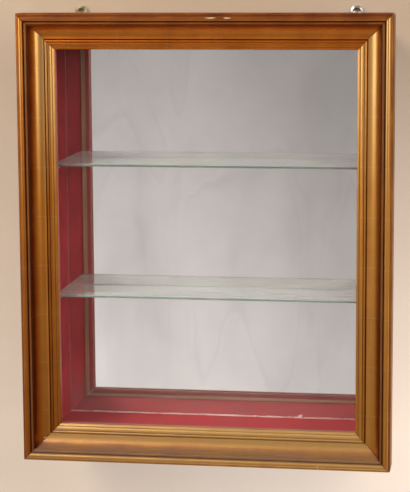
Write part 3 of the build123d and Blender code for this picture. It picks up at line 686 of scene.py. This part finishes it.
def book_cloth():
    """Woven red cloth glued on card."""
    material, tree, place = fresh("woven_red_book_cloth")
    weave = 1.0
    for direction in ("X", "Y", "Z"):
        threads = add(tree, "TexWave", {"Vector": place, "Scale": math.pi / 10 / (THREAD_PITCH * MM),
                                        "Distortion": 0.6, "Detail": 1.0},
                      out="Fac", wave_type="BANDS", bands_direction=direction)
        weave = add(tree, "Math", {0: weave, 1: threads}, operation="MULTIPLY")
    mottle = add(tree, "TexNoise", {"Vector": place, "Scale": 26.0, "Detail": 5.0, "Roughness": 0.65})
    lint = add(tree, "TexNoise", {"Vector": place, "Scale": 1 / (LINT_SIZE * MM), "Detail": 2.0})
    deep_share = add(tree, "ValToRGB", {0: mottle}, stops=[(0.38, 0.0), (0.66, 1.0)])

    # Painted shade: the cloth is darker towards the top of the case.
    height = add(tree, "SeparateXYZ", {0: place}, out=2)
    painted_shade_high = add(tree, "MapRange", {0: height, 1: -0.45, 2: -0.06, 3: 0.0, 4: 0.75})

    # The floor of the case has faded and is dusty, in patches, and what faces up is painted paler as
    # light.
    normal = add(tree, "NewGeometry", out="Normal")
    up = add(tree, "SeparateXYZ", {0: normal}, out=2)
    faces_up_dust_and_light = add(tree, "ValToRGB", {0: up}, stops=[(0.5, 0.05), (0.9, 0.35)])
    patchy = add(tree, "ValToRGB", {0: mottle}, stops=[(0.3, 0.4), (0.7, 1.0)])
    settled = add(tree, "Math", {0: faces_up_dust_and_light, 1: patchy}, operation="MULTIPLY")
    fluff = add(tree, "ValToRGB", {0: lint}, stops=[(0.70, 0.0), (0.78, 0.25)])

    colour = CLOTH_RED
    for share, tone in ((deep_share, CLOTH_DEEP), (painted_shade_high, CLOTH_SHADED), (settled, CLOTH_FADED_AND_LIT),
                        (fluff, PALE_LINT)):
        colour = add(tree, "Mix", {0: share, 6: colour, 7: tone}, out=2, data_type="RGBA")
    bump = add(tree, "Bump", {"Height": weave, "Strength": 0.3, "Distance": 0.12 * MM})
    shader = add(tree, "BsdfPrincipled", {"Base Color": colour, "Roughness": 0.8,
                 "Specular IOR Level": 0.02, "Normal": bump})
    add(tree, "OutputMaterial", {0: shader})
    return material


red_cloth = book_cloth()
wear(["lining_left", "lining_right", "lining_top", "lining_bottom"], red_cloth)
print(red_cloth.name, "on four linings")

# %% [markdown]
# Glass comes in three kinds here. The pane in the door is clear and should hardly show. The shelves
# are clear too, but their ground edges gather light inside the sheet and glow grey-green, so the edge
# faces get a paler, less transparent colour; the direction of the surface tells edge from face. The
# mirror is glass with silver behind it, which is a smooth metal to the eye, with a breath of dust.
# Lamps don't shine through refracting glass in a path tracer without costly sampling, so the shader
# lets shadow rays pass, and the inside of the case is lit as it would be.

# %% Glass
# Float glass has an index of 1.52. On the pane and the shelves' faces that mirrors more of the studio
# than the real ones show, so theirs is lower.
GLASS_IOR = 1.52
PANE_IOR = 1.16
SHELF_IOR = 1.35
SHELF_TINT = "#F5FAF6"
SHELF_THICKNESS = 4.0
shelf_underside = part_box("lower_glass_shelf")[0].z / MM
shelf_spacing = (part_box("upper_glass_shelf")[0].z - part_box("lower_glass_shelf")[0].z) / MM


def clear_glass(name, tint, index, haze):
    """Float glass that lets lamp light through; haze is the share of dust on its faces."""
    material, tree, place = fresh(name)
    smears = add(tree, "TexNoise", {"Vector": place, "Scale": 18.0, "Detail": 5.0, "Roughness": 0.7})
    rough = add(tree, "ValToRGB", {0: smears}, stops=[(0.45, 0.0), (0.8, 0.05)])
    glass = add(tree, "BsdfPrincipled", {"Base Color": tint, "IOR": index, "Transmission Weight": 1.0,
                "Roughness": rough})
    dust = add(tree, "BsdfDiffuse", {"Color": "#C9C6BE"})
    cover = add(tree, "ValToRGB", {0: smears}, stops=[(0.3, 0.25 * haze), (0.75, haze)])
    surface = add(tree, "MixShader", {0: cover, 1: glass, 2: dust})
    clear = add(tree, "BsdfTransparent", {"Color": tint})
    shadow = add(tree, "LightPath", out="Is Shadow Ray")
    both = add(tree, "MixShader", {0: shadow, 1: surface, 2: clear})
    add(tree, "OutputMaterial", {0: both})
    return material


def shelf_glass(name, edge_shade_to_highlight):
    """Float glass with ground edges and a film of dust; edge tones, from painted shade to painted
    highlight, run from its underside up.
    """
    material, tree, place = fresh(name)
    normal = add(tree, "NewGeometry", out="Normal")
    up = add(tree, "SeparateXYZ", {0: normal}, out=2)
    up = add(tree, "Math", {0: up}, operation="ABSOLUTE")
    edge = add(tree, "ValToRGB", {0: up}, stops=[(0.5, 1.0), (0.8, 0.0)])
    wiped = add(tree, "VectorMath", {0: place, 1: (9.0, 90.0, 9.0)}, operation="MULTIPLY")
    smears = add(tree, "TexNoise", {"Vector": wiped, "Scale": 1.0, "Detail": 5.0, "Roughness": 0.65})
    glass = add(tree, "BsdfPrincipled", {"Base Color": SHELF_TINT, "IOR": SHELF_IOR,
                "Transmission Weight": 1.0, "Roughness": 0.02})

    # The edge is painted darker and greener at the bottom of the sheet as shade, and its upper arris is
    # painted pale as a highlight. The two shelves are one spacing apart, so the height above either
    # underside is a remainder.
    height = add(tree, "SeparateXYZ", {0: place}, out=2)
    above = add(tree, "Math", {0: height, 1: shelf_underside * MM}, operation="SUBTRACT")
    above = add(tree, "Math", {0: above, 1: shelf_spacing * MM}, operation="FLOORED_MODULO")
    level = add(tree, "Math", {0: above, 1: SHELF_THICKNESS * MM}, operation="DIVIDE")
    marks = [(i / (len(edge_shade_to_highlight) - 1), tone) for i, tone in enumerate(edge_shade_to_highlight)]
    tone = add(tree, "ValToRGB", {0: level}, stops=marks)
    ground = add(tree, "BsdfPrincipled", {"Base Color": tone, "Roughness": 0.4, "IOR": GLASS_IOR,
                 "Transmission Weight": 0.3})
    dust = add(tree, "BsdfDiffuse", {"Color": "#EDEBEA"})
    cover = add(tree, "ValToRGB", {0: smears}, stops=[(0.32, 0.18), (0.66, 0.29)])
    face = add(tree, "MixShader", {0: cover, 1: glass, 2: dust})
    surface = add(tree, "MixShader", {0: edge, 1: face, 2: ground})
    clear = add(tree, "BsdfTransparent", {"Color": SHELF_TINT})
    shadow = add(tree, "LightPath", out="Is Shadow Ray")
    both = add(tree, "MixShader", {0: shadow, 1: surface, 2: clear})
    add(tree, "OutputMaterial", {0: both})
    return material


def silvered_glass():
    """Mirror with a breath of dust, thicker along its foot."""
    material, tree, place = fresh("silvered_float_glass")
    smears = add(tree, "TexNoise", {"Vector": place, "Scale": 9.0, "Detail": 6.0, "Roughness": 0.65})
    colour = add(tree, "ValToRGB", {0: smears}, stops=[(0.3, "#ECEAE8"), (0.7, "#F3F2F0")])
    rough = add(tree, "Math", {0: smears, 1: 0.04}, operation="MULTIPLY")
    silver = add(tree, "BsdfPrincipled", {"Base Color": colour, "Metallic": 1.0, "Roughness": rough})
    dust = add(tree, "BsdfDiffuse", {"Color": "#DAD6D6"})
    height = add(tree, "SeparateXYZ", {0: place}, out=2)
    cover = add(tree, "MapRange", {0: height, 1: -0.60, 2: -0.65, 3: 0.0, 4: 0.07})
    surface = add(tree, "MixShader", {0: cover, 1: silver, 2: dust})
    add(tree, "OutputMaterial", {0: surface})
    return material


# Edge tones from the underside up: painted shade low, painted highlight on the upper arris.
GREY_EDGE_SHADE_TO_HIGHLIGHT = ("#868E81", "#6A7264", "#70786B", "#98A093")
GREEN_EDGE_SHADE_TO_HIGHLIGHT = ("#A9B9AE", "#7F8D82", "#8C9A8F", "#C8D3CA")
wear(["door_glass"], clear_glass("clear_picture_glass", "#FBFDFC", PANE_IOR, 0.004))
wear(["upper_glass_shelf"], shelf_glass("float_glass_grey_edge", GREY_EDGE_SHADE_TO_HIGHLIGHT))
wear(["lower_glass_shelf"], shelf_glass("float_glass_green_edge", GREEN_EDGE_SHADE_TO_HIGHLIGHT))
wear(["mirror"], silvered_glass())
print("glass finishes: 4")

# %% [markdown]
# Thin lines tell the eye where one thing meets another. Where the linings meet the mirror, its ground
# edge and a little dried glue show as a pale hairline, with a few white crumbs along the bottom. In
# the lower left mitre of the door, white filler has been pressed in from behind, and the mirror shows
# it as a bright slanting stroke. Each line is swept as a ribbon whose width and thickness waver a
# little, because a perfectly even line looks drawn.

# %% Hairlines and filler
# The strip's section: shares of its thickness and of its width.
RIBBON_SECTION = ((0.0, 0.0), (0.8, 0.15), (1.0, 0.5), (0.6, 0.9), (0.0, 1.0))
RIBBON_TAPER = 0.35


def ribbon(name, start, end, side, out, width, thickness, waver, seed, step=6.0):
    """Thin uneven strip from start to end in millimetres, wide along side and thick along out."""
    rng = random.Random(seed)
    length = (end - start).length
    count = max(6, round(length / step))
    sides = len(RIBBON_SECTION)
    points, faces = [], []
    for i in range(count + 1):
        base = start.lerp(end, i / count)
        ends = RIBBON_TAPER if i in (0, count) else 1.0
        wide = width * ends * (1 + waver * rng.uniform(-1, 1))
        thick = thickness * ends * (1 + waver * rng.uniform(-1, 1))
        points += [base + out * thick * up + side * wide * over for up, over in RIBBON_SECTION]
    for i in range(count):
        for j in range(sides):
            a, b = i * sides + j, i * sides + (j + 1) % sides
            faces.append((a, b, b + sides, a + sides))
    faces += [tuple(range(sides)), tuple(reversed(range(count * sides, (count + 1) * sides)))]
    return mesh_object(name, points, faces)


def pale_paste(name, light, dark, grit):
    """Dried glue, filler or gesso: matt, pale, gritty and a little dirty."""
    material, tree, place = fresh(name)
    grains = add(tree, "TexNoise", {"Vector": place, "Scale": 1 / (grit * MM), "Detail": 3.0,
                                    "Roughness": 0.6})
    dirt = add(tree, "TexNoise", {"Vector": place, "Scale": 30.0, "Detail": 3.0})
    gritty = add(tree, "ValToRGB", {0: grains}, stops=[(0.35, 0.2), (0.7, 1.0)])
    patchy = add(tree, "ValToRGB", {0: dirt}, stops=[(0.4, 0.2), (0.65, 1.0)])
    soiled = add(tree, "Math", {0: gritty, 1: patchy}, operation="MULTIPLY")
    colour = add(tree, "Mix", {0: soiled, 6: light, 7: dark}, out=2, data_type="RGBA")
    bump = add(tree, "Bump", {"Height": grains, "Strength": 0.5, "Distance": 0.1 * MM})
    shader = add(tree, "BsdfPrincipled", {"Base Color": colour, "Roughness": 0.7, "IOR": 1.5,
                 "Normal": bump})
    add(tree, "OutputMaterial", {0: shader})
    return material


glue = pale_paste("dried_glue_and_ground_glass", "#E4C8C2", "#9C6A68", 6.0)
grey_glue = pale_paste("dusty_ground_glass", "#8F7D7B", "#6A4B4A", 3.0)
filler = pale_paste("white_filler", "#F4EEE6", "#CFC3B4", 1.0)
mirror_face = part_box("mirror")[0].y / MM
left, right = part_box("lining_left")[1].x / MM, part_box("lining_right")[0].x / MM
low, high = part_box("lining_bottom")[1].z / MM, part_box("lining_top")[0].z / MM
door_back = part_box("glazing_bead_bottom")[1].y / MM
SEAM_WIDTH = 0.9
SEAM_PROUD = 0.5
SEAM_WAVER = 0.25
FRONT = Vector((0, -1, 0))
# Each seam: its two ends, the way it widens, its paste and its width.
seam_lines = {
    "seam_bottom": ((left, low), (right, low), (0, 1), glue, SEAM_WIDTH * 3.0),
    "seam_top": ((left, high), (right, high), (0, -1), grey_glue, SEAM_WIDTH * 0.7),
    "seam_left": ((left, low), (left, high), (1, 0), grey_glue, SEAM_WIDTH),
    "seam_right": ((right, low), (right, high), (-1, 0), grey_glue, SEAM_WIDTH),
}
for number, (name, (start, end, side, finish, width)) in enumerate(seam_lines.items()):
    start, end = (Vector((x, mirror_face, z)) for x, z in (start, end))
    widening = Vector((side[0], 0, side[1]))
    line = ribbon(name, start, end, widening, FRONT, width, SEAM_PROUD, SEAM_WAVER, number)
    line.data.materials.append(finish)
    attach(line, "case")

FILLER_WIDTH = 1.5
FILLER_PROUD = 0.3
FILLER_WAVER = 0.3
FILLER_STEP = 1.5
FILLER_SEED = 11
FILLER_OFF_MITRE = 0.6
across_mitre = Vector((1, 0, -1)).normalized()
start, end = (Vector((x, door_back, z)) - across_mitre * FILLER_OFF_MITRE
              for x, z in ((-258.0, -682.6), (-242.9, -667.9)))
stroke = ribbon("mitre_filler", start, end, across_mitre, -FRONT, FILLER_WIDTH, FILLER_PROUD,
                FILLER_WAVER, FILLER_SEED, step=FILLER_STEP)
stroke.data.materials.append(filler)
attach(stroke, "door")
print("hairlines:", len(seam_lines), "and a stroke of filler", round((end - start).length), "mm long")

# %% [markdown]
# The crumbs are chips of dried glue that were never swept up. Each is a flat ragged disc with seven
# corners at random distances, which costs few faces and has sharp edges that catch the light. A seeded
# generator keeps them the same on every run.

# %% White crumbs along the bottom line
# Each crumb: its place along X and its size, in millimetres.
CRUMBS = [(-174.0, 1.6), (51.5, 1.3), (61.0, 1.6), (134.4, 2.0), (137.0, 3.4), (140.4, 3.9)]
CRUMB_CORNERS = 7
CRUMB_SEED = 5


def crumbs():
    """Small flat chips of dried glue that stand on the floor against the mirror."""
    rng = random.Random(CRUMB_SEED)
    sides = CRUMB_CORNERS
    points, faces = [], []
    for x, size in CRUMBS:
        first = len(points)
        rim = [(size * (0.3 + 0.35 * rng.random()) * math.cos(math.tau * k / sides),
                size * (0.5 + 0.5 * rng.random()) * math.sin(math.tau * k / sides))
               for k in range(sides)]
        for y in (mirror_face - 0.1, mirror_face - 0.9):
            points += [Vector((x + a, y - 0.1 * b, low + size * 0.95 + b)) for a, b in rim]
        faces.append(tuple(range(first, first + sides)))
        faces.append(tuple(reversed(range(first + sides, first + 2 * sides))))
        for k in range(sides):
            n = (k + 1) % sides
            faces.append((first + k, first + sides + k, first + sides + n, first + n))
    made = mesh_object("white_crumbs", points, faces, smooth=False)
    made.data.materials.append(filler)
    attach(made, "case")
    return made


print("crumbs:", len(crumbs().data.polygons), "faces")

# %% [markdown]
# The small metal and plastic pieces come last: nickel-plated hanging plates, rolled brass hinges,
# zinc-plated screws and pins, and the catch, which is brown moulded plastic round a ferrite magnet.
# All metals share one recipe: a metal colour, fine scratches as a stretched noise in the roughness
# and the relief, and a little tarnish.

# %% Metals and the catch
RING_REACH = 10.5
RING_RISE = 1.6
# Scratches run upwards: per metre, how finely they are drawn along X, Y and Z.
SCRATCHES = (2500.0, 2500.0, 160.0)
WORN_PLASTIC = "#6B5A4C"


def worn_metal(name, bright, tarnish, roughness, share, ring_middle=None):
    """Plated or rolled metal with scratches and tarnish, and a pressed ring round a middle if given."""
    material, tree, place = fresh(name)
    stretched = add(tree, "VectorMath", {0: place, 1: SCRATCHES}, operation="MULTIPLY")
    scratches = add(tree, "TexNoise", {"Vector": stretched, "Scale": 1.0, "Detail": 2.0})
    stains = add(tree, "TexNoise", {"Vector": place, "Scale": 260.0, "Detail": 4.0, "Roughness": 0.7})
    stained = add(tree, "ValToRGB", {0: stains}, stops=[(0.4, 0.0), (0.7, share)])
    colour = add(tree, "Mix", {0: stained, 6: bright, 7: tarnish}, out=2, data_type="RGBA")
    rough = add(tree, "Math", {0: scratches, 1: 0.2, 2: roughness - 0.08}, operation="MULTIPLY_ADD")
    bump = add(tree, "Bump", {"Height": scratches, "Strength": 0.15, "Distance": 0.03 * MM})
    if ring_middle:
        offset = add(tree, "VectorMath", {0: place, 1: ring_middle}, operation="SUBTRACT")
        flat = add(tree, "VectorMath", {0: offset, 1: (1.0, 0.0, 1.0)}, operation="MULTIPLY")
        reach = add(tree, "VectorMath", {0: flat}, out="Value", operation="LENGTH")
        reach = add(tree, "Math", {0: reach, 1: RING_REACH * MM}, operation="DIVIDE")
        ring = add(tree, "ValToRGB", {0: reach},
                   stops=[(0.28, 0.0), (0.52, 0.7), (0.7, 1.0), (0.98, 0.0)])
        bump = add(tree, "Bump", {"Height": ring, "Strength": 1.0, "Distance": RING_RISE * MM,
                                  "Normal": bump})
    shader = add(tree, "BsdfPrincipled", {"Base Color": colour, "Metallic": 1.0, "Roughness": rough,
                 "Normal": bump})
    add(tree, "OutputMaterial", {0: shader})
    return material


def moulded(name, colour, roughness, grit):
    """Moulded plastic or pressed ferrite with a fine grit."""
    material, tree, place = fresh(name)
    grains = add(tree, "TexNoise", {"Vector": place, "Scale": 1 / (grit * MM), "Detail": 2.0})
    worn = add(tree, "ValToRGB", {0: grains}, stops=[(0.3, 0.0), (0.7, 0.5)])
    shade = add(tree, "Mix", {0: worn, 6: colour, 7: WORN_PLASTIC}, out=2, data_type="RGBA")
    bump = add(tree, "Bump", {"Height": grains, "Strength": 0.25, "Distance": 0.05 * MM})
    shader = add(tree, "BsdfPrincipled", {"Base Color": shade, "Roughness": roughness, "IOR": 1.5,
                 "Normal": bump})
    add(tree, "OutputMaterial", {0: shader})
    return material


for side, finish in (("right", ("nickel_plated_steel", "#C6C4C0", "#7D766A", 0.24, 0.5)),
                     ("left", ("tarnished_nickel_plate", "#A89A78", "#75643F", 0.42, 0.6))):
    first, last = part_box(side + "_hanging_plate")
    middle = ((first + last) / 2).x
    wear([side + "_hanging_plate"], worn_metal(*finish, ring_middle=(middle, 0.0, 0.0)))
zinc = worn_metal("zinc_plated_steel", "#B5B6B4", "#84807A", 0.36, 0.4)
brass = worn_metal("rolled_brass", "#B8924E", "#6E5226", 0.34, 0.5)
turned_brass = worn_metal("turned_brass", "#C39B55", "#7A5C2C", 0.3, 0.4)
wear(["hanging_plate_screws", "back_board_screws", "case_nails", "glazing_brads", "mitre_v_nails",
      "upper_shelf_pins", "lower_shelf_pins", "catch_screws", "catch_strike_plate",
      "strike_screws"], zinc)
wear([level + part for level in ("upper", "lower")
      for part in ("_hinge_door_leaf", "_hinge_case_leaf", "_hinge_pin")], brass)
wear(["hinge_door_screws", "hinge_case_screws"], turned_brass)
wear(["catch_housing"], moulded("brown_moulded_plastic", "#2C1B12", 0.45, 0.3))
wear(["catch_magnet"], moulded("sintered_ferrite", "#2A2A2B", 0.6, 0.2))
print("metal finishes: 5, catch finishes: 2")

# %% [markdown]
# The stage is a pale wall that the cabinet hangs on, a pale floor two metres below its top, and a
# pale cloth hung across the far end of the room, five metres away. For the eye the wall glows with
# painted light, lighter towards the right and downwards. The cloth is what the mirror looks at, so its
# tone is the tone of the glass, in painted light and shade: lighter low down, darker towards the top
# and the right, with a few soft folds painted as shade. It glows a little for the rays that see it,
# so that it stays pale without more light on the cabinet. The wall lets through whatever comes from
# behind it and casts no shadow, so that the back of the cabinet can be looked at too.

# %% Wall, floor and cloth
WALL_PLACE = 0.002
WALL_PAINTED_LIGHT = 0.72
WALL_TOP = 3.0
FLOOR_HEIGHT = -2.0
FLOOR_END = 6.0
CLOTH_PLACE = -5.3
ROOM_HALF_WIDTH = 6.0


def seen_by_eye(tree):
    """One for the rays of the camera, of metal and of glass, and nothing for rays that carry light."""
    seen = add(tree, "LightPath", out="Is Camera Ray")
    for ray in ("Is Glossy Ray", "Is Transmission Ray"):
        seen = add(tree, "Math", {0: seen, 1: add(tree, "LightPath", out=ray)}, operation="MAXIMUM")
    return seen


def plain_wall():
    """Pale plaster that only shows from the front, with painted light for the eye."""
    material, tree, place = fresh("pale_plaster")
    trowel = add(tree, "TexNoise", {"Vector": place, "Scale": 7.0, "Detail": 5.0, "Roughness": 0.6})
    colour = add(tree, "ValToRGB", {0: trowel}, stops=[(0.3, "#C9B198"), (0.7, "#D0BAA2")])
    plaster = add(tree, "BsdfDiffuse", {"Color": colour})
    clear = add(tree, "BsdfTransparent")
    shadow = add(tree, "LightPath", out="Is Shadow Ray")
    behind = add(tree, "NewGeometry", out="Backfacing")
    open_share = add(tree, "Math", {0: shadow, 1: behind}, operation="MAXIMUM")

    # Painted light: the eye sees the plaster glow lighter towards the right and downwards, and nothing
    # is lit by it.
    x, z = (add(tree, "SeparateXYZ", {0: place}, out=axis) for axis in (0, 2))
    low = add(tree, "MapRange", {0: z, 1: 0.0, 2: -0.7, 3: 0.06, 4: 1.0})
    right = add(tree, "MapRange", {0: x, 1: -0.32, 2: 0.32, 3: 0.5, 4: 1.0})
    painted_light = add(tree, "Math", {0: low, 1: right}, operation="MULTIPLY")
    painted_light = add(tree, "Math", {0: painted_light, 1: seen_by_eye(tree)}, operation="MULTIPLY")
    painted_light = add(tree, "Math", {0: painted_light, 1: WALL_PAINTED_LIGHT}, operation="MULTIPLY")
    glow = add(tree, "Emission", {"Color": "#FFF0E2", "Strength": painted_light})
    plaster = add(tree, "AddShader", {0: plaster, 1: glow})
    mix = add(tree, "MixShader", {0: open_share, 1: plaster, 2: clear})
    add(tree, "OutputMaterial", {0: mix})
    return material


def plain_floor():
    """Matt pale studio floor."""
    material, tree, place = fresh("matt_studio_paper")
    cloudy = add(tree, "TexNoise", {"Vector": place, "Scale": 0.7, "Detail": 3.0})
    colour = add(tree, "ValToRGB", {0: cloudy}, stops=[(0.3, "#C9C5C1"), (0.7, "#D3CFCB")])
    paper = add(tree, "BsdfDiffuse", {"Color": colour})
    add(tree, "OutputMaterial", {0: paper})
    return material


def hung_cloth():
    """Pale studio cloth with painted shade in soft folds and thin creases, and a painted gradient of
    light.
    """
    material, tree, place = fresh("pale_studio_cloth")
    x, z = (add(tree, "SeparateXYZ", {0: place}, out=axis) for axis in (0, 2))
    # Painted light: lighter low down, darker towards the top and the right.
    low = add(tree, "MapRange", {0: z, 1: -0.2, 2: -2.0, 3: 0.48, 4: 0.98})
    right = add(tree, "MapRange", {0: x, 1: -0.95, 2: 0.1, 3: 1.0, 4: 0.62})
    tone = add(tree, "Math", {0: low, 1: right}, operation="MULTIPLY")
    # Painted shade in soft folds.
    slanted = add(tree, "VectorMath", {0: place, 1: (2.6, 1.0, 0.7)}, operation="MULTIPLY")
    folds = add(tree, "TexNoise", {"Vector": slanted, "Scale": 1.0, "Detail": 3.0, "Roughness": 0.5,
                                   "Distortion": 0.6})
    soft = add(tree, "ValToRGB", {0: folds}, stops=[(0.35, 0.88), (0.62, 1.01)])
    tone = add(tree, "Math", {0: tone, 1: soft}, operation="MULTIPLY")
    # Thin creases, each a painted dark line beside a painted light one.
    leaning = add(tree, "Mapping", {"Vector": place, "Rotation": (0.0, 0.5, 0.0),
                                    "Scale": (2.2, 1.0, 0.5)})
    waves = add(tree, "TexNoise", {"Vector": leaning, "Scale": 1.0, "Detail": 1.5, "Distortion": 0.8})
    creases = add(tree, "ValToRGB", {0: waves},
                  stops=[(0.462, 1.0), (0.480, 0.93), (0.488, 1.03), (0.500, 1.0), (0.540, 1.0),
                         (0.552, 0.94), (0.560, 1.0)])
    tone = add(tree, "Math", {0: tone, 1: creases}, operation="MULTIPLY")

    # It glows for the eye alone, and adds no light on things.
    strength = add(tree, "Math", {0: tone, 1: seen_by_eye(tree)}, operation="MULTIPLY")
    glow = add(tree, "Emission", {"Color": "#FBEFEE", "Strength": strength})

    # From behind it is clear, so that it never stands in a view's way.
    behind = add(tree, "NewGeometry", out="Backfacing")
    clear = add(tree, "BsdfTransparent")
    one_sided = add(tree, "MixShader", {0: behind, 1: glow, 2: clear})
    add(tree, "OutputMaterial", {0: one_sided})
    return material


def board(name, corners, material):
    """Flat stage board through four corners in metres."""
    in_millimetres = [tuple(c / MM for c in corner) for corner in corners]
    made = mesh_object(name, in_millimetres, [(0, 1, 2, 3)], smooth=False)
    made.data.materials.append(material)
    return made


W, LOW, HIGH = ROOM_HALF_WIDTH, FLOOR_HEIGHT, WALL_TOP
wall = board("wall", [(-W, WALL_PLACE, LOW), (W, WALL_PLACE, LOW), (W, WALL_PLACE, HIGH),
                      (-W, WALL_PLACE, HIGH)], plain_wall())
board("floor", [(-W, CLOTH_PLACE, LOW), (W, CLOTH_PLACE, LOW), (W, FLOOR_END, LOW),
                (-W, FLOOR_END, LOW)], plain_floor())
board("cloth", [(-W, CLOTH_PLACE, LOW), (-W, CLOTH_PLACE, HIGH), (W, CLOTH_PLACE, HIGH),
                (W, CLOTH_PLACE, LOW)], hung_cloth())
print("wall faces", wall.data.polygons[0].normal[:], "- it must face the camera")

# %% [markdown]
# Light comes from soft boxes on both sides of the camera, the usual way to light a framed object
# without a glare in its glass. A small one on each side stands level with the top of the cabinet, and
# puts the long highlight in the hollow of the opposite stile, strongest near the top. A higher one on
# the left and a larger one on the right give the even light. The room adds white from everywhere. A
# last, large lamp stands far behind the wall and lights the back for views from there.

# %% Lamps and room light
AIM = Vector((0.0, -0.1, -0.3))
ROOM_LIGHT = 0.47
WARM_WHITE = "#FFFAF4"
# Each lamp: its place and its size in metres, its power in watts and its colour.
LAMPS = {
    "lamp_left_low": ((-1.15, -1.12, 0.06), 0.8, 5.4, WARM_WHITE),
    "lamp_left_high": ((-1.2, -1.35, 1.0), 0.8, 20.0, WARM_WHITE),
    "lamp_right_low": ((1.15, -1.5, 0.07), 0.7, 4.8, WARM_WHITE),
    "lamp_right_broad": ((1.6, -2.1, 0.85), 1.4, 16.5, WARM_WHITE),
    "lamp_behind": ((0.6, 3.0, 1.2), 2.0, 60.0, "#FFFFFF"),
}


def soft_box(name, place, size, power, colour):
    """Square area lamp that looks at the cabinet and isn't seen itself."""
    data = bpy.data.lights.new(name, "AREA")
    data.shape = "SQUARE"
    data.size = size
    data.energy = power
    data.color = linear(colour)[:3]
    lamp = bpy.data.objects.new(name, data)
    bpy.context.scene.collection.objects.link(lamp)
    lamp.location = place
    lamp.rotation_mode = "QUATERNION"
    lamp.rotation_quaternion = (AIM - lamp.location).to_track_quat("-Z", "Y")
    lamp.visible_camera = False


for name, (place, size, power, colour) in LAMPS.items():
    soft_box(name, place, size, power, colour)

world = bpy.data.worlds.new("room")
bpy.context.scene.world = world
world.use_nodes = True
world.node_tree.nodes.clear()
room = add(world.node_tree, "Background", {"Color": "#FBF7F3", "Strength": ROOM_LIGHT})
add(world.node_tree, "OutputWorld", {0: room})
bpy.context.scene.view_settings.view_transform = "Standard"
print("lamps:", len(LAMPS), "and room light", ROOM_LIGHT)
